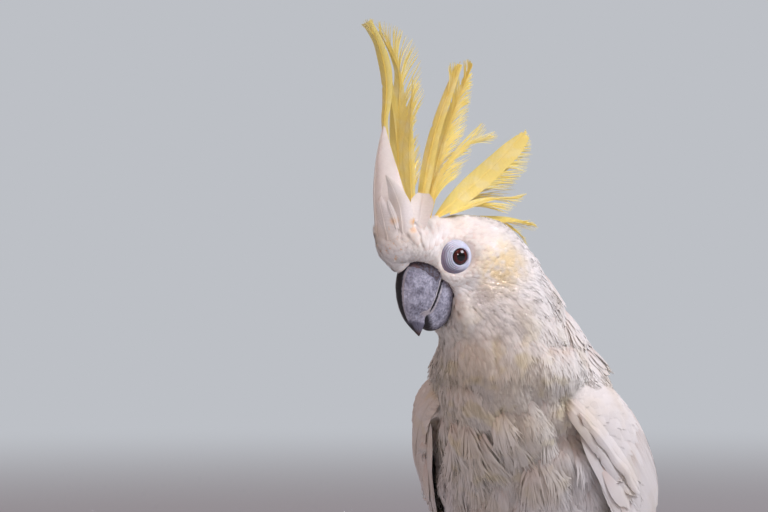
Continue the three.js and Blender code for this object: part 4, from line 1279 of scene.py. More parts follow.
# The raised crest, front to back. root and tip are [forward, up] in the head's frame, left is how far off
# its middle plane, bow how far the feather bends forward halfway and roll the turn of its face in degrees.
# deep is how much of the depth colour it has all over, as painted shade, and gold how much of it lies along
# its shaft. lead and trail are the half widths of its closed vane from root to tip, before and behind its
# shaft, the same if trail is left out, and cup how deep that is hollowed. Each spray is a row of loose barbs:
# from where to where they may leave the shaft, in shares, the line of their tips, how many there are, how far
# they stray and how many degrees they lean from the shaft. A feather with sprays is thinly notched too.
CREST = {
    "white_front": dict(
        line=((28, -3), (32.2, 2), (36.2, 9.5), (38.0, 20.2), (36.3, 33.5), (34.1, 46.2), (29.9, 59.6),
              (25.4, 70.2), (20.3, 80)),
        left=0, cup=1.25, lead=(5, 8, 10, 12, 12, 10, 7, 4, 0.8),
    ),
    "white_side": dict(
        line=((21, 13), (17, 21), (12.5, 31), (9.5, 38.7)), left=11.5, roll=45, cup=-0.3, deep=0.25,
        lead=(2, 2.6, 4.4, 5.8, 6.4, 6.0, 3.2), trail=(2, 2.6, 4.4, 5.8, 6.6, 6.4, 3.6),
    ),
    "front_long": dict(
        line=((23, 20), (22.5, 50), (19.3, 80.4), (16.4, 90), (13.7, 99.1), (12.2, 109.1), (12.5, 119.4),
              (13.8, 127.3), (17.0, 135.5), (18.6, 139)),
        left=0.5, roll=45, cup=0.35, deep=0.1,
        lead=(2, 2, 2, 2.3, 2.8, 3.3, 3.1, 2.7, 2.8, 3.6),
        trail=(1.6, 1.6, 1.9, 2.6, 3.2, 3.6, 3.3, 2.8, 2.8, 3.2),
        sprays=(((0.8, 0.95), ((22.9, 137.8), (19.5, 140.5), (16.2, 141), (13.2, 139.9)), 9, 0.2, 10),),
    ),
    "front_second": dict(
        line=((20, 20), (15.5, 44), (12.4, 64.7), (7.5, 84), (3.2, 97), (1.6, 107), (3.4, 116.1),
              (6.5, 124.3), (10, 132.5)),
        left=-1.5, roll=45, cup=0.2,
        lead=(2, 3.4, 4.6, 5.0, 4.0, 2.6, 1.6, 0.8, 0.4), trail=(2, 3.4, 5, 4.4, 2.0, 0.6, 0.4, 0.3, 0.2),
        sprays=(((0.5, 0.95), ((11.5, 137), (8, 137.9), (1.5, 135.4), (-3.5, 132.4)), 17, 0.5, 20),
                ((0.35, 0.85), ((-4, 132), (-7.5, 128.2), (-11.6, 124.2), (-13.4, 119)), 17, 0.6, 22),
                ((0.3, 0.75), ((-13.6, 118), (-14.3, 112), (-14.3, 106.4), (-11, 99)), 17, 0.6, 20),
                ((0.2, 0.6), ((-11, 99), (-9.7, 97.2), (-7.4, 91), (-4.4, 86.7)), 16, 0.7, 18),
                ((0.2, 0.8), ((12.5, 130), (10, 122), (8.4, 112), (9, 102)), 22, 0.5, -12)),
    ),
    "front_third": dict(
        line=((17, 20), (13, 42), (9.5, 62), (6, 76), (1, 92)), left=5.5, roll=40, cup=0.2,
        lead=(2, 3.6, 4.4, 3, 0.4), trail=(1, 2.2, 2.6, 1.4, 0.4),
        sprays=(((0.3, 0.97), ((-2, 104), (-6.5, 101), (-7.7, 95.5), (-6.2, 90.5)), 20, 0.8, 22),
                ((0.12, 0.7), ((-6, 90), (-1.1, 83.9), (1.3, 78.7), (2, 67.4)), 30, 0.8, 24),
                ((0.0, 0.4), ((2, 67.4), (2.1, 59.8), (2.2, 54.1), (6.6, 45.5)), 28, 0.8, 24)),
    ),
    "middle_long": dict(
        root=(9, 22), tip=(-39, 104), left=2, bow=5, roll=40, cup=0.2, deep=0.55,
        lead=(1.5, 3.4, 3.8, 3.6, 3.2, 2.8, 1.8), trail=(1.5, 3.2, 3.6, 3.2, 3, 2.6, 1.5),
        sprays=(((0.8, 0.99), ((-30.5, 103.5), (-33, 106), (-37.5, 105), (-41, 103)), 26, 0.4, 14),),
    ),
    "middle_second": dict(
        root=(3, 23), tip=(-48, 102), left=1, bow=4, roll=42, cup=0.15, gold=0.8, deep=0.6,
        lead=(1.5, 3.6, 4.4, 4, 3.2, 2.2, 1.0), trail=(1, 1.6, 1.8, 1.6, 1.2, 0.9, 0.6),
        sprays=(((0.45, 0.99), ((-43, 105), (-47.4, 105), (-47.6, 98), (-46.4, 92)), 44, 0.6, 20),
                ((0.25, 0.9), ((-46.4, 93), (-45, 89), (-43.4, 85), (-41.7, 81)), 44, 0.7, 26),
                ((0.1, 0.75), ((-42, 82), (-39, 75), (-36, 69), (-33.6, 64)), 50, 0.8, 30),
                ((0.0, 0.6), ((-33, 65), (-29, 57), (-26, 48), (-21.7, 41)), 50, 0.9, 36),
                ((0.3, 0.99), ((-33.5, 104), (-36, 100), (-38, 96)), 18, 0.6, -14)),
    ),
    "middle_third": dict(
        root=(4, 23.5), tip=(-49, 60), left=5, bow=12, roll=42, cup=-0.2, deep=0.2,
        lead=(1, 1.4, 1.2, 0.8, 0.5, 0.3, 0.2), trail=(1, 1.8, 1.6, 1, 0.6, 0.3, 0.2),
        sprays=(((0.4, 0.85), ((-43, 68.5), (-46, 67.5), (-47, 65)), 14, 0.6, -12),
                ((0.45, 0.95), ((-51, 62), (-54.4, 59), (-48.4, 55.3)), 20, 0.9, 12),
                ((0.16, 0.7), ((-38, 62), (-35.5, 58), (-33, 54.6), (-29, 50)), 28, 0.9, 26),
                ((0.04, 0.5), ((-28.2, 50.7), (-24, 46), (-20.4, 42.4)), 26, 1.0, 30)),
    ),
    "back_long": dict(
        root=(-3, 23), tip=(-75, 56), left=3, bow=-1.5, roll=50, cup=0.12,
        lead=(1.5, 5, 6.6, 6.6, 5.8, 4.6, 2.0), trail=(1.5, 4.6, 6, 6.4, 6.4, 6.4, 4.0),
        sprays=(((0.72, 0.99), ((-76.5, 58), (-78, 54), (-78.5, 50), (-77.6, 46)), 40, 0.4, 16),
                ((0.5, 0.95), ((-77.6, 47), (-76.6, 43), (-74, 38.5), (-70.8, 34.3)), 44, 0.6, 22),
                ((0.2, 0.8), ((-71, 35), (-66, 32), (-61, 30), (-54.9, 27.6)), 44, 0.8, 22)),
    ),
    "back_second": dict(
        root=(-7, 23), tip=(-74, 42), left=-2, bow=-2, roll=-20, cup=-0.2, deep=0.15,
        lead=(1, 4, 5.5, 6, 5.5, 4, 1.2),
        sprays=(((0.1, 0.85), ((-68, 31), (-64, 26), (-58, 22), (-50, 23)), 50, 1.2, 16),),
    ),
    "back_third": dict(
        root=(-11, 22.5), tip=(-58, 21), left=6.5, bow=3, roll=40, cup=-0.2,
        lead=(1, 2, 2.4, 2, 1.2, 0.5, 0.2), trail=(1, 2.4, 2.8, 2, 1, 0.4, 0.2),
        sprays=(((0.3, 0.95), ((-66, 22.5), (-63.2, 19.5), (-58, 17)), 24, 1.0, 12),
                ((0.1, 0.8), ((-56, 17.5), (-53, 15), (-48, 14.5)), 30, 1.0, 16)),
    ),
    "nape_long": dict(
        line=((-16, 19), (-29.4, 14.6), (-52.6, 9.2), (-70.7, 2)), left=4, roll=30, cup=-0.2,
        lead=(2, 3.4, 4, 3.6, 3, 2.2, 1.4), trail=(2, 3.4, 4.4, 4, 3.4, 2.4, 1.4),
        sprays=(((0.3, 0.97), ((-66, 6), (-69, 4.4), (-72, 0.6), (-69, -1.2)), 26, 0.7, 10),),
    ),
    "nape_second": dict(
        line=((-20, 17), (-36, 12), (-52, 5), (-61, -3)), left=3, roll=30, cup=-0.2,
        lead=(2, 4, 5, 5, 4, 2.4, 1), trail=(2, 4, 5.6, 5.6, 4.6, 2.4, 1),
        sprays=(((0.4, 0.97), ((-60, 2), (-62, -4), (-62.5, -8.8), (-58, -9)), 30, 1.0, 14),),
    ),
}

# Small white feathers that lie over the foot of the first one, each on both sides of the head.
OVERLAYS = {
    "leaf": dict(
        line=((28.6, 12), (28, 24.5), (27.2, 34.1), (29, 44.8), (32.4, 54)), left=11.5, roll=42, cup=0.32,
        lead=(3, 5, 6.3, 6.2, 4.6, 2.6, 0.5),
    ),
    "low": dict(
        line=((33.4, 6), (35, 14), (35.6, 22), (36, 31), (36.2, 38.5), (35, 43)), left=6.0, roll=25, cup=0.4,
        lead=(4, 5.4, 5.8, 5.4, 4.2, 2.6, 0.6),
    ),
    "thin": dict(
        line=((31.5, 23), (32.4, 30), (33.6, 35.5), (34.2, 40.6)), left=11, roll=40, cup=0.3,
        lead=(1.2, 1.8, 1.9, 1.5, 0.3),
    ),
}

FAR_SIDE_BACK, FAR_SIDE_IN = 7, 0.8  # on the head's right they stand this much further back and in
NOTCHES = 2
VANE_ACROSS, VANE_ALONG = 12, 110  # faces of a closed vane
SPRAY_STEPS = (0.6, 0.62, 0.6, 0.55, 0.48, 0.36, 0.1)  # a loose barb's width from foot to tip, in millimetres
SHAFT_STEPS = 24
BROW_TOP = 0.4  # share of the front feather that short feathers cover


def crest_line(feather, s):
    """Places along a crest feather in the head's frame, in millimetres."""
    s = np.asarray(s, float)
    if "line" in feather:
        flat = through([(*key, 0) for key in feather["line"]], s)
    else:
        root, tip = np.array(feather["root"], float), np.array(feather["tip"], float)
        run = tip - root
        ahead = unit(np.array((run[1], -run[0])))
        shift = feather["bow"] * np.sin(np.pi * np.clip(s, 0, 1))
        flat = root + run * s[..., None] + ahead * shift[..., None]
    return np.stack([np.full(s.shape, feather["left"], float), -flat[..., 0], flat[..., 1]], axis=-1)


def crest_frame(feather, s):
    """A crest feather's line, its way, its forward side and its face at each share of its length."""
    line = crest_line(feather, s)
    way = unit(crest_line(feather, s + 0.01) - crest_line(feather, s - 0.01))
    face = unit(np.cross((-1.0, 0.0, 0.0), way))
    roll = math.radians(feather.get("roll", 0))
    face = face * math.cos(roll) + np.cross(way, face) * math.sin(roll)
    return line, way, np.cross(way, face), face


def vane_place(feather, x, v, wide):
    """Places on a crest feather's vane, at x from -1 to 1 across it and v along it, and its face there."""
    line, _, side, face = crest_frame(feather, v + 0.02 * np.abs(x) * np.sin(np.pi * v))
    return line + side * (x * wide)[:, None] + face * (feather["cup"] * wide * x * x)[:, None], face


def half_width(feather, x, v):
    """A crest feather's half width in millimetres on the side that x is on."""
    lead = series(feather["lead"], v)
    return np.where(x > 0, lead, series(feather["trail"], v)) if "trail" in feather else lead


def mesh_grid(first, second):
    """Every pair of numbers from two lists, as two arrays."""
    return (grid.ravel() for grid in np.meshgrid(first, second))


def vane_arrays(feather, rng):
    """The closed vane of a crest feather, streaked by its barbs and thinly notched along its edges."""
    length = np.linalg.norm(np.diff(crest_line(feather, np.array((0.0, 1.0))), axis=0))
    u, v = mesh_grid(np.linspace(0, 1, VANE_ACROSS + 1), np.linspace(0, 1, VANE_ALONG + 1))
    x = 2 * u - 1
    wide = half_width(feather, x, v)
    slant = v * length - np.abs(x) * wide * 1.6
    tone = 0.25 + 0.5 * np.interp(slant, np.linspace(-20, length, VANE_ALONG), rng.random(VANE_ALONG))
    for _ in range(NOTCHES if "sprays" in feather else 0):
        at, side, deep = rng.uniform(0.4, 0.98) * length, rng.choice((-1, 1)), rng.uniform(0.1, 0.3)
        wide = wide * (1 - deep * np.exp(-(((slant - at) / 0.9) ** 2)) * (x * side > 0) * x**2)
    points, face = vane_place(feather, x, v, wide)
    high = 0.35 * np.exp(-((x / 0.1) ** 2)) * (1.1 - v) + 0.15 * (tone - 0.5)
    first = (np.arange(VANE_ALONG)[:, None] * (VANE_ACROSS + 1) + np.arange(VANE_ACROSS)).ravel()
    quads = np.stack([first, first + 1, first + VANE_ACROSS + 2, first + VANE_ACROSS + 1], axis=1)
    # A lower lie turns the colour to the depth colour: near the shaft as gold says, and all over as painted
    # shade as deep says
    lies = (1 - feather.get("gold", 0.35) * np.exp(-((x / 0.22) ** 2))) * (1 - feather.get("deep", 0))
    barbs = np.stack([slant * BARB_STEP, np.abs(x) * wide * 0.1], axis=1)
    patches = np.stack([0.02 + 0.4 * u, 0.02 + 0.96 * v], axis=1)
    return [points + face * high[:, None], quads, tone, lies, patches, barbs]


def blades(rows, widths, aside, tone, lies, patch):
    """Arrays of many tapering strips: rows (count, steps, 3) in the head's frame, widths (count, steps)."""
    count, steps = rows.shape[:2]
    edge = aside * widths[..., None] / 2
    points = np.stack([rows - edge, rows + edge], axis=2).reshape(-1, 3)
    one = np.array([(2 * i, 2 * i + 1, 2 * i + 3, 2 * i + 2) for i in range(steps - 1)])
    quads = (one[None] + np.arange(count)[:, None, None] * steps * 2).reshape(-1, 4)
    corner = np.stack([np.tile((-1, 1), steps), np.repeat(np.linspace(-1, 1, steps), 2)], axis=1) * TUFT_SHARE
    return [points, quads, np.repeat(tone, steps * 2), np.repeat(lies, 2, axis=1).ravel(),
            (patch[:, None] + corner).reshape(-1, 2), np.full((count * steps * 2, 2), 0.25)]


def spray_arrays(feather, spray, rng):
    """A row of loose barbs from a crest feather's shaft to a line of tips."""
    (start, end), tips, count, stray, lean = spray
    steps = len(SPRAY_STEPS)
    share = np.clip(np.linspace(0, 1, count) + rng.normal(0, 0.03, count), 0, 1)
    far = through([in_head(*tip, feather["left"]) for tip in tips], share)
    far = far + rng.normal(0, stray, (count, 3)) * (1.0, 0.7, 0.7)
    choices = np.linspace(start, end, 60)
    feet, ways, _, _ = crest_frame(feather, choices)
    angle = np.degrees(np.arccos(np.clip(dot(unit(far[:, None] - feet[None]), ways[None])[..., 0], -1, 1)))
    s = choices[np.argmin(np.abs(angle - abs(lean) - rng.normal(0, 2, (count, 1))), axis=1)]
    s = s + rng.normal(0, 0.012, count)
    foot, way, side, face = crest_frame(feather, s)
    reach = np.linalg.norm(far - foot, axis=1, keepdims=True)
    cluster = np.sin(np.arange(count) * 1.9 + rng.uniform(0, 6))[:, None] * 0.6
    pull = way * reach * 0.45 + side * cluster * stray
    q = np.linspace(0, 1, steps)[None, :, None]
    rows = foot[:, None] * (1 - q) ** 2 + (foot + pull)[:, None] * 2 * q * (1 - q) + far[:, None] * q**2
    twist = face[:, None] + side[:, None] * rng.normal(0, 0.25, (count, 1, 1))
    widths = np.array(SPRAY_STEPS) * rng.uniform(0.8, 1.2, (count, 1))
    # Loose barbs have a lower lie near their feet, and as deep says, so more painted shade there
    lies = np.tile(np.linspace(0.35, 1, steps), (count, 1)) * (1 - 0.7 * feather.get("deep", 0))
    patch = np.stack([0.5 + 0.4 * rng.random(count), 0.02 + 0.96 * np.clip(s, 0, 1)], axis=1)
    aside = unit(np.cross(unit(np.gradient(rows, axis=1)), twist))
    return blades(rows, widths, aside, rng.random(count), lies, patch)


def shaft_arrays(feather):
    """The shaft of a crest feather, as three crossed strips that taper to its tip."""
    line, _, side, face = crest_frame(feather, np.linspace(-0.03, 0.97, SHAFT_STEPS))
    edges = np.stack([side, unit(side + 1.7 * face), unit(side - 1.7 * face)])
    widths = np.tile(np.linspace(1.2, 0.3, SHAFT_STEPS), (3, 1))
    lies, patch = np.full((3, SHAFT_STEPS), 0.5), np.full((3, 2), (0.96, 0.5))
    return blades(np.stack([line] * 3), widths, edges, np.ones(3), lies, patch)


def crest_piece(name, feather, material, rng, replaces=()):
    """One crest feather: its vane, its shaft and its loose barbs."""
    parts = [vane_arrays(feather, rng), shaft_arrays(feather)]
    parts += [spray_arrays(feather, spray, rng) for spray in feather.get("sprays", ())]
    points, *rest = bundle(parts)
    array_piece(name, [moved(HEAD, points), *rest], material, replaces)


def brow_feet(feather, rng):
    """Where short feathers stand on the foot of the front crest feather, so that it grows out of the brow."""
    v, x = mesh_grid(np.arange(0.0, BROW_TOP, 0.024), np.arange(-0.95, 1, 0.19))
    v = np.maximum(v + rng.normal(0, 0.006, len(v)), 0)
    x = x + rng.normal(0, 0.05, len(x))
    keep = rng.random(len(v)) > rise(0.5, 1.0, v / BROW_TOP) * 0.8
    v, x = v[keep], x[keep]
    turn = rng.normal(0, 0.12, len(v))
    line, upright = [], []
    for reach in (0, 0.5, 1):
        across, along = x + turn * reach, v + 0.075 * reach
        wide = half_width(feather, across, along)
        spot, face = vane_place(feather, across, along, wide)
        aside = vane_place(feather, across + 0.02, along, wide)[0] - spot
        ahead = vane_place(feather, across, along + 0.01, wide)[0] - spot
        normal = unit(np.cross(aside, ahead))
        upright.append(turned(HEAD, normal * -np.sign(dot(normal, face))))
        line.append(moved(HEAD, spot))
    half = 2.1 * rng.uniform(0.8, 1.2, len(v)) * MM
    height = rng.uniform(0.5, 1.3, len(v)) * MM
    return laid(line, upright, half, height, (0.02 + 0.2 * (x + 1), 0.02 + 0.96 * v))


class COCKATOO_OT_crest(bpy.types.Operator):
    """Builds each crest feather from its shaft, its closed vane and its loose barbs"""

    bl_idname = "cockatoo.crest"
    bl_label = "Crest"

    def execute(self, context):
        looks = context.scene.cockatoo_plumage
        rng = np.random.default_rng(looks.seed + 3)
        settings = context.scene.cockatoo_crest
        yellow = feather_material("yellow crest feathers", crest_markings, settings, 0.3, barbs=True)
        white = feather_material("white crown feathers", white_markings, looks, 0.15, barbs=True)
        for name, feather in CREST.items():
            material = white if name.startswith("white") else yellow
            crest_piece(f"crest_{name}_vane", feather, material, rng, [f"crest_{name}"])
        for name, feather in OVERLAYS.items():
            right = {
                "line": [(forward - FAR_SIDE_BACK, up) for forward, up in feather["line"]],
                "left": -feather["left"] * FAR_SIDE_IN,
                "roll": -feather["roll"],
            }
            crest_piece(f"brow_{name}_left", feather, white, rng)
            crest_piece(f"brow_{name}_right", {**feather, **right}, white, rng)
        downy = feather_material("short white brow feathers", white_markings, looks)
        planted("brow_tufts", brow_feet(CREST["white_front"], rng), "face", rng, downy)
        return {"FINISHED"}


# ---------------------------------------------------------------- eyes


class EyeSettings(bpy.types.PropertyGroup):
    """Colours of the eyes and the bare skin round them."""

    iris: tint("Iris", "Colour of the iris", "#380d0b")
    glow: tint("Glow", "Brighter streaks in the iris", "#4f1712")
    dark: tint("Dark", "Pupil and limbus", "#020202")
    ring: tint("Ring", "Bare skin round the eye", "#ccd2e0")
    # This colour is painted shade in the troughs of the ring's folds
    crease_shade: tint("Folds", "Skin in the creases", "#5f5b6e")
    # This colour is painted shade on the front and lower part of the ring's outer edge
    rim: tint("Rim", "Outer edge of the bare skin", "#7f7484")


PUPIL, IRIS, LIMBUS = 0.114, 0.196, 0.222  # in shares of the half turn from the front of the eye to its back


def eye_material(settings):
    """A wet eye: a dark red-brown iris with fine rays, a black pupil and rim, under a clear smooth cornea."""
    material, put = new_material("wet eye")
    back = put(ALONG, put(LIE_MAP))
    iris = put(MIX, put(RAMP, streaked(put, 70, 14, 3.0), 0.4, 0.65), settings.iris, settings.glow)
    colour = put(MIX, put(RAMP, back, PUPIL - 0.006, PUPIL + 0.008), settings.dark, iris)
    colour = put(MIX, put(RAMP, back, IRIS, LIMBUS), colour, settings.dark)
    shaded(put, colour, 0.4, Specular_IOR_Level=0.0, Coat_Weight=1.0, Coat_Roughness=0.02, Coat_IOR=1.5)
    return material


def ring_material(settings):
    """Thin bare skin: pale bluish white and softly moist.

    Its creases and the front and lower part of its outer edge are painted darker as shade.
    """
    material, put = new_material("bare eye skin")
    # Painted shade in the troughs of the folds, where crease is high
    colour = put(MIX, put(NOTED["crease"]), settings.ring, settings.crease_shade)
    # Painted shade along the outer edge, on the ring's front and lower side, where front is high
    edge = put(TIMES, put(RAMP, put(ALONG, put(LIE_MAP)), 0.42, 0.2), put(NOTED["front"]))
    colour = put(MIX, edge, colour, settings.rim)
    pores = (grained(put, 0.5, 3.0), 0.1, 0.7)
    shaded(put, colour, 0.5, pores, Subsurface_Weight=0.15, Subsurface_Scale=0.6 * MM)
    return material


# The bare ring's profile from its outer foot over the lid's margin to the eyeball: [radius, height].
RING_PROFILE = ((10.4, 0.8), (9.4, 2.5), (8.2, 3.8), (7.1, 4.9), (6.1, 5.75), (5.35, 6.15), (4.98, 6.0),
                (4.83, 5.4), (4.88, 4.6))
RING_TOP = 6.3
FOLDS, FOLDED = 7, 0.62  # how many folds, over how much of the profile
FOLD_HEIGHT = 0.3


def eye_ring(sign, rng):
    """The wrinkled bare ring and lids of one eye."""
    phases = rng.uniform(0, 2 * math.pi, 6)

    def folded(u, v):
        angle = 2 * math.pi * u
        fore = -sign * np.cos(angle)
        waver = sum(np.sin((k + 2) * angle + phases[k]) / (k + 2) for k in range(5)) * 0.35
        wave = np.sin(2 * math.pi * (FOLDS * v / FOLDED + waver))
        front = 0.5 + 0.5 * rise(-0.6, 0.4, fore - 0.5 * np.sin(angle))
        return wave * (rise(0.08, 0.18, v) * rise(0.66, 0.56, v) * front), fore

    def place(u, v):
        angle = 2 * math.pi * u
        radius, height = through([(*key, 0) for key in RING_PROFILE], v).T[:2]
        height = height + FOLD_HEIGHT * folded(u, v)[0]
        lead = EYE_RING_LEAD * np.maximum(1 - height / RING_TOP, 0) * sign
        spot = np.stack([radius * np.cos(angle) - lead, radius * np.sin(angle), height], axis=1)
        return moved(eye_matrix(sign), spot)

    def notes(u, v):
        wave, fore = folded(u, v)
        front = rise(-0.4, 0.7, fore - 0.6 * np.sin(2 * math.pi * u))
        # crease and front mark where the material paints shade
        return {"crease": np.maximum(-wave, 0) ** 1.4, "front": front}

    bm = surface(96, 60, place, notes=notes)
    bmesh.ops.remove_doubles(bm, verts=bm.verts, dist=MERGE)
    return bm


def eyeball(sign):
    """One eyeball, its pole at the pupil."""

    def place(u, v):
        angle, away = 2 * math.pi * u, math.pi * v
        out = np.stack([np.sin(away) * np.cos(angle), np.sin(away) * np.sin(angle), np.cos(away)], axis=1)
        return moved(eye_matrix(sign), out * EYE_RADIUS)

    return surface(64, 64, place, closed=True)


class COCKATOO_OT_eyes(bpy.types.Operator):
    """Makes the eyeballs and the wrinkled bare rings with their lids"""

    bl_idname = "cockatoo.eyes"
    bl_label = "Eyes"

    def execute(self, context):
        settings = context.scene.cockatoo_eye
        rng = np.random.default_rng(31)
        wet, bare = eye_material(settings), ring_material(settings)
        for side, sign in SIDES:
            settle(f"eyeball_{side}", eyeball(sign), wet, [f"eye_{side}"])
            settle(f"eyelids_{side}", eye_ring(sign, rng), bare, [f"eye_ring_{side}"])
        return {"FINISHED"}


# ---------------------------------------------------------------- bill


class BillSettings(bpy.types.PropertyGroup):
    """Colours of the bill and cere."""

    horn: tint("Horn", "Powdered slate grey of the bill's sides", "#bcbdcd")
    slate: tint("Slate", "Horn where the powder has rubbed off", "#5c5b6a")
    # This colour also paints the shadow in the gap under the upper bill's cutting edges
    black: tint("Black", "Bare horn of the ridge and the tips", "#17151a")
    worn: tint("Worn", "Flaking edges", "#b5afb2")
    brown: tint("Brown", "Thin horn at the tip", "#4a2f24")
    cere: tint("Cere", "Bare skin over the bill's root", "#46393d")
    gape: tint("Gape", "Skin at the corners of the mouth", "#5b3a3c")
    # This colour is painted shade inside the nostrils
    nostril: tint("Nostril", "Inside the nostrils", "#2a1210")


# Each horn's cutting edge and its ridge or keel in the head's middle plane, root to tip, as [forward, up],
# its half widths along them, and how sharply it rises from its edges, less being steeper.
UPPER = (
    ((4, -6), (8.5, -12), (11.5, -17.5), (14.5, -22.5), (18, -26.8), (22.3, -27.8), (24.3, -31),
     (23.8, -35.5), (22.4, -41)),
    ((13, 3), (20.5, 1.8), (26.5, -1.2), (30.2, -7.5), (31.8, -15.5), (31.6, -23), (29.9, -29.8), (27, -35.4),
     (22.9, -41.2)),
    (11, 11, 10.6, 9.8, 8.4, 6.2, 4.4, 2.6, 0.5),
    0.8,
)
LOWER = (
    ((2, -10), (8, -13.5), (13, -18), (17, -22.6), (20, -26.4), (23, -29.6)),
    ((-4, -22), (-2, -31), (3, -37.2), (9.5, -40.4), (16.5, -39.6), (22.4, -34)),
    (10.6, 10.8, 10.2, 8.8, 7, 3.6),
    0.62,
)
HORN_START = -0.03  # a horn starts this share of its length behind its first key
HORN_CORE = 0.35  # its shell stands out from this share of the way from its edge to its ridge
SHELL = 0.8  # share of a section that is the outer shell, the rest being the mouth's side
PALATE = 0.13  # how far the mouth's side is hollowed, as a share of the horn's height


def mandible(shape, t, angle):
    """Places on a horn at a share of its length and a turn from edge to edge, in the head's millimetres.

    Also gives the place between its cutting edges there, the way up from it, and its width and height.
    """
    edge, ridge, widths, sharp = shape
    low, top = (through([in_head(*p) for p in keys], t) for keys in (edge, ridge))
    reach = np.linalg.norm(top - low, axis=-1)
    up = unit(top - low)
    wide = np.maximum(series(widths, t), 0.3)
    high = np.maximum(np.sin(angle), 0) ** sharp * reach
    across = wide * np.cos(angle) * (1 - 0.12 * np.sin(angle))
    return low + up * high[..., None] + across[..., None] * np.array((1.0, 0, 0)), low, up, wide, reach


def outward(shape, t, angle):
    """Places on a horn and the direction that stands out from each."""
    outer, low, *_ = mandible(shape, t, angle)
    crown = mandible(shape, t, np.full(len(t), math.pi / 2))[0]
    return outer, unit(outer - (low + (crown - low) * HORN_CORE))


def edge_away(points):
    """How many millimetres each place in the head's frame is from the upper bill's cutting edges."""
    t = np.linspace(HORN_START, 1, 90)
    edges = np.concatenate([mandible(UPPER, t, np.full(90, end))[0] for end in (0.0, math.pi)])
    return np.linalg.norm(points[:, None] - edges[None], axis=2).min(axis=1)


def horn(shape, relief):
    """A closed horn with its relief(t, angle, places) in millimetres standing out from its shell."""

    def run(u, v):
        return HORN_START + (1 - HORN_START) * v, math.pi * np.clip(u / SHELL, 0, 1)

    def place(u, v):
        t, angle = run(u, v)
        outer, away = outward(shape, t, angle)
        _, low, up, wide, reach = mandible(shape, t, angle)
        swell = relief(t, angle, outer) * (u <= SHELL)
        inside = math.pi * np.clip((u - SHELL) / (1 - SHELL), 0, 1)
        palate = low + up * (PALATE * reach * np.sin(inside))[:, None]
        palate = palate + np.outer(-wide * np.cos(inside), (1.0, 0, 0))
        return moved(HEAD, np.where((u <= SHELL)[:, None], outer + away * swell[:, None], palate))

    def notes(u, v):
        return {"gap": edge_away(mandible(shape, *run(u, v))[0])}

    return surface(90, 96, place, closed=True, notes=notes)


def horn_material(name, settings, marks):
    """Powdered keratin: slate grey under a chalky bloom, finely scratched, with bare black edges."""
    material, put = new_material(name)
    powder = speckled(put, 1.3, 0.3, 0.75, 5.0)
    cloud = speckled(put, 6.0, 0.34, 0.66)
    mixed = put(PLUS, put(TIMES, powder, 0.55), put(TIMES, cloud, 0.45))
    colour = put(MIX, mixed, settings.slate, settings.horn)
    colour = put(MIX, put(RAMP, streaked(put, 90, 9, 4.0), 0.5, 0.72, 0.0, 0.6), colour, settings.slate)
    colour = put(MIX, put(RAMP, streaked(put, 9, 60, 5.0), 0.6, 0.72, 0.0, 0.5), colour, settings.worn)
    colour = put(MIX, put(TIMES, speckled(put, 0.8, 0.62, 0.7, 3.0), 0.5), colour, settings.black)
    ragged = put(MINUS, grained(put, 1.6, 4.0), 0.5)
    for shade, mask in marks(put, settings, ragged):
        colour = put(MIX, mask, colour, shade)
    shaded(put, colour, put(RAMP, powder, 0.0, 1.0, 0.42, 0.62), (grained(put, 0.7, 4.0), 0.1, 0.8))
    return material


def frayed(put, value, ragged, much):
    """A value made uneven, so that the edge of what it bounds is ragged."""
    return put(PLUS, value, put(TIMES, ragged, much))


def from_ridge(put, ragged, much):
    """0 on the ridge and 0.5 at the cutting edges, made uneven."""
    share = put(OVER, put(ACROSS, put(LIE_MAP)), SHELL)
    return frayed(put, put(ABSOLUTE, put(MINUS, share, 0.5)), ragged, much)


def band(put, value, low, high, soft):
    """1 where value is between low and high, with soft ends."""
    return put(TIMES, put(RAMP, value, low - soft, low), put(RAMP, value, high + soft, high))


def upper_marks(put, settings, ragged):
    """Where the upper bill is dark, pale and worn: colours and how much there is of each."""
    off = from_ridge(put, ragged, 0.03)
    along = frayed(put, put(ALONG, put(LIE_MAP)), ragged, 0.06)
    gap = frayed(put, put(NOTED["gap"]), ragged, 1.2)
    line = put(TIMES, band(put, off, 0.135, 0.155, 0.012), band(put, along, 0.1, 0.78, 0.06))
    lip = put(TIMES, put(RAMP, gap, 0.7, 0.3), put(RAMP, along, 0.7, 0.6))
    return (
        (settings.slate, put(RAMP, along, 0.1, 0.24, 0.6, 0.0)),
        (settings.black, put(RAMP, off, 0.13, 0.105)),
        (settings.worn, put(TIMES, line, 0.65)),
        (settings.worn, put(TIMES, lip, 0.8)),
        (settings.slate, put(RAMP, along, 0.74, 0.82)),
        (settings.black, put(TIMES, put(RAMP, along, 0.76, 0.86), put(RAMP, off, 0.3, 0.2))),
        (settings.brown, put(TIMES, put(RAMP, along, 0.88, 0.98), 0.8)),
    )


def lower_marks(put, settings, ragged):
    """Where the lower bill is dark, pale and worn, and painted with shadow: colours and how much there is of
    each.
    """
    off = from_ridge(put, ragged, 0.1)
    along = frayed(put, put(ALONG, put(LIE_MAP)), ragged, 0.1)
    gap = frayed(put, put(NOTED["gap"]), ragged, 0.5)
    lip = put(TIMES, band(put, gap, 2.0, 2.5, 0.3), band(put, along, 0.3, 0.85, 0.1))
    return (
        (settings.black, put(RAMP, off, 0.24, 0.08, 0.0, 0.85)),
        (settings.worn, put(TIMES, lip, 0.75)),
        # Painted shadow: black just under the upper bill's cutting edges, in the gap between the horns
        (settings.black, put(RAMP, gap, 1.9, 1.5)),
        (settings.black, put(RAMP, along, 0.7, 0.84)),
        (settings.gape, put(RAMP, along, 0.22, 0.08)),
    )


NOSTRIL = (0.2, math.radians(52))  # along the bill, and round it from either cutting edge
NOSTRIL_SIZE = (0.034, math.radians(6.5))
CERE_START = -0.06


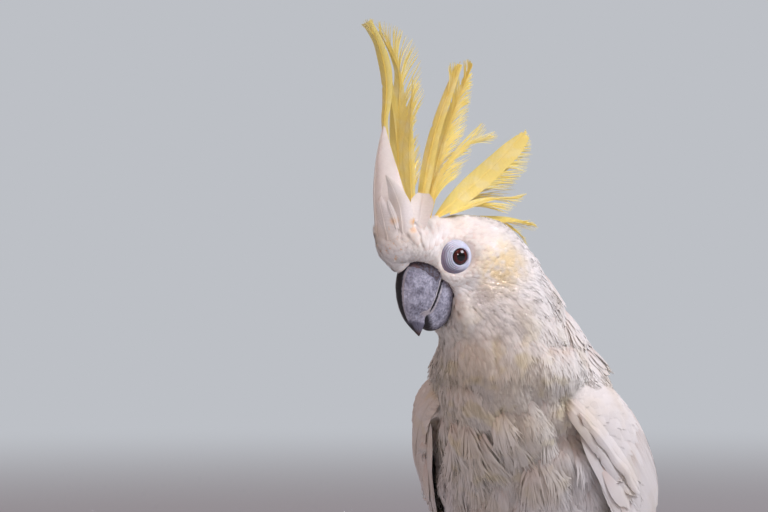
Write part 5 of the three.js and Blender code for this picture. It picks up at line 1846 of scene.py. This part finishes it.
def from_edge(angle):
    """The turn round a horn from the nearer of its cutting edges."""
    return np.minimum(angle, math.pi - angle)


def nostril_away(t, angle):
    """How far places are from the nearer nostril, 1 at its rim."""
    along, round_it = (t - NOSTRIL[0]) / NOSTRIL_SIZE[0], (from_edge(angle) - NOSTRIL[1]) / NOSTRIL_SIZE[1]
    return np.hypot(along, round_it)


def cere_run(u, v, ripple=0.0):
    """Shares along the upper bill and turns round it of places on the cere, whose front edge is scalloped."""
    angle = math.pi * (0.02 + 0.96 * u)
    scallop = 0.02 * np.sin(3 * from_edge(angle) + 1.2) + ripple * np.sin(23 * angle)
    front = 0.15 + scallop + 0.07 * rise(0.5, 1.2, from_edge(angle))
    return CERE_START + (front - CERE_START) * v, angle


def cere_piece(rng):
    """The wrinkled bare skin over the bill's root, with swollen nostrils and a scalloped front edge."""
    phase = rng.uniform(0, 2 * math.pi, 4)

    def place(u, v):
        t, angle = cere_run(u, v, 0.006)
        wrinkle = 0.16 * np.sin(60 * t + 3 * np.sin(4 * angle + phase[0])) * np.sin(9 * angle + phase[1])
        away = nostril_away(t, angle)
        swell = 0.75 * np.exp(-(((away - 1.35) / 0.75) ** 2)) - 1.7 * rise(1.15, 0.55, away)
        thick = 0.95 * (1 - v**6) * (0.55 + 0.45 * np.sin(angle)) + wrinkle * (1 - v**4) + swell * (1 - v**8)
        outer, out = outward(UPPER, t, angle)
        return moved(HEAD, outer + out * (thick - 0.15)[:, None])

    def notes(u, v):
        return {"hole": nostril_away(*cere_run(u, v))}

    return surface(120, 48, place, notes=notes)


def cere_material(settings):
    """Dark bare skin: fine-grained, wrinkled and slightly waxy, pinker round the nostrils.

    The inside of each nostril is painted dark as shade.
    """
    material, put = new_material("waxy cere skin")
    hole = put(NOTED["hole"])
    colour = put(MIX, speckled(put, 1.4, 0.4, 0.65, 4.0), settings.cere, settings.slate)
    colour = put(MIX, put(TIMES, put(RAMP, hole, 2.3, 1.3), 0.75), colour, linear("#7d5f62"))
    # Painted shade inside the nostrils, whose dips are shallow
    colour = put(MIX, put(RAMP, hole, 1.0, 0.75), colour, settings.nostril)
    shaded(put, colour, 0.55, (grained(put, 0.45, 4.0), 0.12, 0.9))
    return material


class COCKATOO_OT_bill(bpy.types.Operator):
    """Makes both horns of the bill and the cere over its root"""

    bl_idname = "cockatoo.bill"
    bl_label = "Bill"

    def execute(self, context):
        settings = context.scene.cockatoo_bill
        rng = np.random.default_rng(41)
        phase = rng.uniform(0, 2 * math.pi, 3)

        def relief(t, angle, places):
            side = from_edge(angle)
            growth = 0.09 * np.sin(55 * t + 4 * np.sin(3 * angle + phase[0])) * np.sin(5 * angle + phase[1])
            line = 0.28 * np.exp(-(((side - math.radians(61)) / 0.05) ** 2))
            line = line * rise(0.15, 0.3, t) * rise(0.9, 0.7, t)
            flake = -0.22 * rise(0.14, 0.05, side) * (0.5 + 0.5 * np.sin(90 * t + phase[2]))
            return growth + line + flake

        def sunk(t, angle, places):
            return relief(t, angle, places) - 1.3 * rise(2.4, 1.2, edge_away(places))

        upper = horn_material("powdered upper horn", settings, upper_marks)
        lower = horn_material("powdered lower horn", settings, lower_marks)
        settle("horn_upper", horn(UPPER, relief), upper, ["bill_upper"])
        settle("horn_lower", horn(LOWER, sunk), lower, ["bill_lower"])
        settle("cere", cere_piece(rng), cere_material(settings))
        return {"FINISHED"}


# ---------------------------------------------------------------- legs and feet


class FootSettings(bpy.types.PropertyGroup):
    """Colours of the legs, toes and claws."""

    scale: tint("Scales", "Scales of the legs and toes", "#55535a")
    powder: tint("Powder", "Pale bloom between the scales", "#8f8c90")
    claw: tint("Claws", "Claws", "#1f1d20")
    worn: tint("Worn claws", "Rubbed claw edges", "#5a5458")


# A shank from top to bottom: [x, y, z, half width, front depth, back depth].
SHANK = (
    (0, -2, 39, 4.2, 4.2, 4.2),
    (0, -3, 31, 5, 5, 5),
    (0, -8, 23, 4.3, 4.6, 4.6),
    (0, -13, 14, 4.8, 5.2, 5.6),
    (0, -16, 7.5, 7, 7.4, 7),
    (0, -17, 2.5, 6.8, 7, 6.6),
    (0, -17, 0.2, 4.6, 5, 4.6),
)

# Two toes point forward and two back: turn outwards from straight ahead, length, radius and reach of the
# claw.
TOES = {
    "front_inner": (-8, 24, 3.9, 11),
    "front_outer": (17, 33, 4.1, 12),
    "back_outer": (143, 28, 4.0, 11.5),
    "back_inner": (196, 17, 3.7, 10),
}
TOE_JOINTS = 5
TOE_SINK = 0.66  # a toe's middle above the floor, as a share of its radius, which flattens its pads
TOE_TIP = 0.55  # radius at the root of the claw, as a share of the toe's
TOE_TIP_RISE = 0.85  # how high a toe ends, as a share of the claw's root
CLAW = ((0, 1.0, 0.6), (0.3, 1.22, 0.54), (0.58, 1.14, 0.42), (0.82, 0.72, 0.26), (1, 0.24, 0.09))
CLAW_RISE = 0.78  # the claw's root above the floor, as a share of the toe's radius
CLAW_SINK = 0.6  # how far the claw starts inside the toe
CLAW_SECTION = (1, 1.15, 1.15)  # a claw is a little deeper than wide


def loft(keys, lateral, across, along, relief=None):
    """A closed rounded body along keys of [x, y, z, half width, front depth, back depth] on the bird.

    relief(t, angle) stands out from it in millimetres, and nothing goes below the floor.
    """
    keys = np.array(keys, float)

    def place(u, v):
        angle = 2 * math.pi * u
        way = unit(through(keys[:, :3], v + 0.01) - through(keys[:, :3], v - 0.01))
        front = unit(np.cross(lateral, way))
        side = np.cross(way, front)
        wide, fore, back = np.maximum(through(keys[:, 3:], v).T, 0.15)
        out = relief(v, angle) if relief else 0
        deep = np.where(np.sin(angle) > 0, fore, back) + out
        spot = through(keys[:, :3], v) + side * ((wide + out) * np.cos(angle))[:, None]
        spot = spot + front * (deep * np.sin(angle))[:, None]
        spot[:, 2] = np.maximum(spot[:, 2], 0)
        return moved(BIRD, spot)

    return surface(across, along, place, closed=True)


def scutes(t, angle):
    """Relief of the plates across a shank."""
    return 0.22 * np.abs(np.sin(16 * math.pi * t + 0.6 * np.sin(2 * angle))) - 0.1


def ridges(t, angle):
    """Relief of the plates over a toe, which is smooth underneath."""
    return (0.26 * np.abs(np.sin(13 * math.pi * t)) - 0.12) * rise(-0.3, 0.6, np.sin(angle))


def toe_key(place, radius, joint):
    """One joint of a toe, swollen or narrow in turn."""
    thick = radius * (1.12 - 0.3 * joint / TOE_JOINTS) * (0.93 if joint % 2 else 1.04)
    return (*(place + np.array((0, 0, thick * TOE_SINK))), thick, thick, thick)


def claw_key(place, radius, rise_share, thick):
    """One section of a claw that is over a place on the floor."""
    return (*(place + (0, 0, radius * CLAW_RISE * rise_share)), *(radius * thick * np.array(CLAW_SECTION)))


def scaly_material(settings):
    """Dry horny scales, grey-black and matt, with pale powder in the joints between them."""
    material, put = new_material("scaly leg skin")
    cells = put(CELLS, put(PLACE), 1 / (1.7 * MM))
    colour = put(MIX, put(RAMP, cells, 0.0, 0.16), settings.powder, settings.scale)
    colour = put(MIX, put(TIMES, speckled(put, 6, 0.35, 0.65, 4.0), 0.35), colour, settings.powder)
    shaded(put, colour, 0.7, (put(RAMP, cells, 0.0, 0.25), 0.3, 0.9))
    return material


def claw_material(settings):
    """Polished black keratin with fine lengthwise lines, rubbed paler in places."""
    material, put = new_material("black claw keratin")
    lines = streaked(put, 34, 3, 3.0)
    colour = put(MIX, put(RAMP, lines, 0.5, 0.75), settings.claw, settings.worn)
    shaded(put, colour, 0.35, (lines, 0.1, 0.5))
    return material


class COCKATOO_OT_feet(bpy.types.Operator):
    """Makes the scaly shanks and toes and the claws"""

    bl_idname = "cockatoo.feet"
    bl_label = "Feet"

    def execute(self, context):
        settings = context.scene.cockatoo_foot
        scaly, horny = scaly_material(settings), claw_material(settings)
        for side, sign in SIDES:
            foot = np.array((sign * FOOT_SIDE, 0, 0))
            keys = [(*(np.array(key[:3]) + foot), *key[3:]) for key in SHANK]
            leg = loft(keys, (-1, 0, 0), 40, 72, scutes)
            settle(f"leg_{side}", leg, scaly, [f"shank_{side}"])
            start = foot + (0, FOOT_BACK, 0)
            for name, (turn, length, radius, reach) in TOES.items():
                angle = math.radians(turn)
                ahead = np.array((sign * math.sin(angle), -math.cos(angle), 0))
                across = np.cross(ahead, (0, 0, 1))
                toe = [toe_key(start + ahead * length * k / TOE_JOINTS, radius, k) for k in range(TOE_JOINTS)]
                tip = start + ahead * length + (0, 0, radius * CLAW_RISE * TOE_TIP_RISE)
                toe.append((*tip, *[radius * TOE_TIP] * 3))
                bm = loft(toe, across, 36, 64, ridges)
                settle(f"digit_{side}_{name}", bm, scaly, [f"toe_{side}_{name}"])
                root = start + ahead * (length - CLAW_SINK)
                claw = [claw_key(root + ahead * reach * u, radius, z, r) for u, z, r in CLAW]
                bm = loft(claw, across, 24, 28)
                settle(f"talon_{side}_{name}", bm, horny, [f"claw_{side}_{name}"])
        return {"FINISHED"}


# ---------------------------------------------------------------- stage


def power(name, description, watts):
    """A lamp's power as a setting."""
    return FloatProperty(name=name, description=description, default=watts, unit="POWER")


class StageSettings(bpy.types.PropertyGroup):
    """The studio."""

    floor: tint("Floor", "Colour of the floor and of what lies beyond it", "#bdc0c6")
    key: power("Key", "Power of the large lamp", 13.5)
    fill: power("Fill", "Power of the lamp on the other side", 3.6)
    face: power("Face", "Power of the narrow lamp on the head", 0.009)
    rim: power("Rim", "Power of the lamp behind the bird", 2.0)
    sky: FloatProperty(name="Sky", description="Strength of the light from all round", default=0.31)


CAMERA_AZIMUTH = 20  # degrees from straight in front, towards the bird's left
CAMERA_AWAY = 1.710  # metres
CAMERA_AIM = (-88.5, 244)  # across the view from the bird's middle, and above the floor, in millimetres
LENS, SENSOR = 135, 36
FLOOR_SIZE = 12  # half its width, in metres
SKY = "#f5d9d5"
ALL_ROUND = dict(aim=(0, -30, 200), spread=180)
# Lamps: azimuth, elevation, metres away, size and colour, the place on the bird each looks at, and the
# degrees its light spreads.
LAMPS = {
    "key": dict(azimuth=77, elevation=38, away=1.3, size=(0.6, 0.5), colour="#f0f3ff", **ALL_ROUND),
    "fill": dict(azimuth=-5, elevation=60, away=1.1, size=(0.8, 0.7), colour="#ffd8cc", **ALL_ROUND),
    "face": dict(azimuth=30, elevation=14, away=0.9, size=(0.05, 0.05), colour="#f3eef8", aim=(-26, -78, 262),
                 spread=9),
    "rim": dict(azimuth=150, elevation=40, away=1.4, size=(0.9, 0.9), colour="#f4f6ff", **ALL_ROUND),
}


def heading(azimuth, elevation=0.0):
    """The direction in which a camera or lamp at these angles lies, in degrees."""
    a, e = math.radians(azimuth), math.radians(elevation)
    return Vector((math.sin(a) * math.cos(e), -math.cos(a) * math.cos(e), math.sin(e)))


def set_up(name, data, target, way, away):
    """Puts a camera or lamp so many metres away from a target, looking at it."""
    holder = bpy.data.objects.new(name, data)
    bpy.context.scene.collection.objects.link(holder)
    holder.location = target + way * away
    holder.rotation_euler = way.to_track_quat("Z", "Y").to_euler()
    return holder


def add_lamp(name, power, azimuth, elevation, away, size, colour, aim, spread):
    """A soft rectangular lamp."""
    lamp = bpy.data.lights.new(name, "AREA")
    lamp.shape = "RECTANGLE"
    lamp.size, lamp.size_y = size
    lamp.energy = power
    lamp.spread = math.radians(spread)
    lamp.color = linear(colour)[:3]
    set_up(name, lamp, Vector(moved(BIRD, aim)[0]), heading(azimuth, elevation), away)


def floor_material(settings):
    """Matt paper sweep that fades with distance into the plain background."""
    material, put = new_material("paper floor")
    near = around(put, (0, 0, 0), 500, 2400)
    paper = put(PRINCIPLED, settings.floor, 0.9)
    put(OUTPUT, put(BOTH, near, put(EMISSION, settings.floor, 1.0), paper))
    return material


def build_world(settings):
    """Even pale light, and the plain background that the camera sees."""
    world = bpy.data.worlds.new("studio")
    put = node_adder(world)
    light, seen = put(BACKGROUND, linear(SKY), settings.sky), put(BACKGROUND, settings.floor, 1.0)
    camera_ray = put(("LightPath", {}, (), "Is Camera Ray"))
    put(OUTPUT_WORLD, put(BOTH, camera_ray, light, seen))
    bpy.context.scene.world = world


class COCKATOO_OT_stage(bpy.types.Operator):
    """Sets up the floor, the background, the lamps and the camera"""

    bl_idname = "cockatoo.stage"
    bl_label = "Stage"

    def execute(self, context):
        scene = context.scene
        settings = scene.cockatoo_stage
        scene.view_settings.view_transform = "Standard"
        bm = bmesh.new()
        bmesh.ops.create_grid(bm, x_segments=8, y_segments=8, size=FLOOR_SIZE)
        mesh = mesh_of("floor", bm)
        mesh.materials.append(floor_material(settings))
        floor = bpy.data.objects.new("floor", mesh)
        scene.collection.objects.link(floor)
        build_world(settings)
        for name, lamp in LAMPS.items():
            add_lamp(name, getattr(settings, name), **lamp)
        aside = heading(CAMERA_AZIMUTH + 90)
        across, high = CAMERA_AIM
        target = BIRD @ (Vector((aside.x, aside.y, 0)) * across * MM + Vector((0, 0, high)) * MM)
        lens = bpy.data.cameras.new("camera")
        lens.lens, lens.sensor_width = LENS, SENSOR
        lens.clip_start = 0.05
        scene.camera = set_up("camera", lens, target, heading(CAMERA_AZIMUTH), CAMERA_AWAY)
        return {"FINISHED"}


# ---------------------------------------------------------------- add-on

OPERATORS = (
    COCKATOO_OT_skin,
    COCKATOO_OT_coat,
    COCKATOO_OT_wings,
    COCKATOO_OT_tail,
    COCKATOO_OT_crest,
    COCKATOO_OT_eyes,
    COCKATOO_OT_bill,
    COCKATOO_OT_feet,
    COCKATOO_OT_stage,
)
SETTINGS = (
    ("cockatoo_plumage", PlumageSettings),
    ("cockatoo_crest", CrestSettings),
    ("cockatoo_eye", EyeSettings),
    ("cockatoo_bill", BillSettings),
    ("cockatoo_foot", FootSettings),
    ("cockatoo_stage", StageSettings),
)


class COCKATOO_PT_panel(bpy.types.Panel):
    """Lists the cockatoo's settings and parts"""

    bl_idname = "COCKATOO_PT_panel"
    bl_label = "Cockatoo"
    bl_space_type = "VIEW_3D"
    bl_region_type = "UI"
    bl_category = "Cockatoo"

    def draw(self, context):
        for name, kind in SETTINGS:
            settings = getattr(context.scene, name)
            for key in kind.__annotations__:
                self.layout.prop(settings, key)
        for operator in OPERATORS:
            self.layout.operator(operator.bl_idname)


def register():
    """Adds the settings, parts and panel to Blender."""
    for name, kind in SETTINGS:
        bpy.utils.register_class(kind)
        setattr(bpy.types.Scene, name, PointerProperty(type=kind))
    for kind in (*OPERATORS, COCKATOO_PT_panel):
        bpy.utils.register_class(kind)


def unregister():
    """Takes them out again."""
    for kind in (COCKATOO_PT_panel, *reversed(OPERATORS)):
        bpy.utils.unregister_class(kind)
    for name, kind in reversed(SETTINGS):
        delattr(bpy.types.Scene, name)
        bpy.utils.unregister_class(kind)


def main():
    """Builds the bird and its stage."""
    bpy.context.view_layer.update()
    register()
    for operator in OPERATORS:
        group, name = operator.bl_idname.split(".")
        getattr(getattr(bpy.ops, group), name)()


if __name__ == "__main__":
    main()
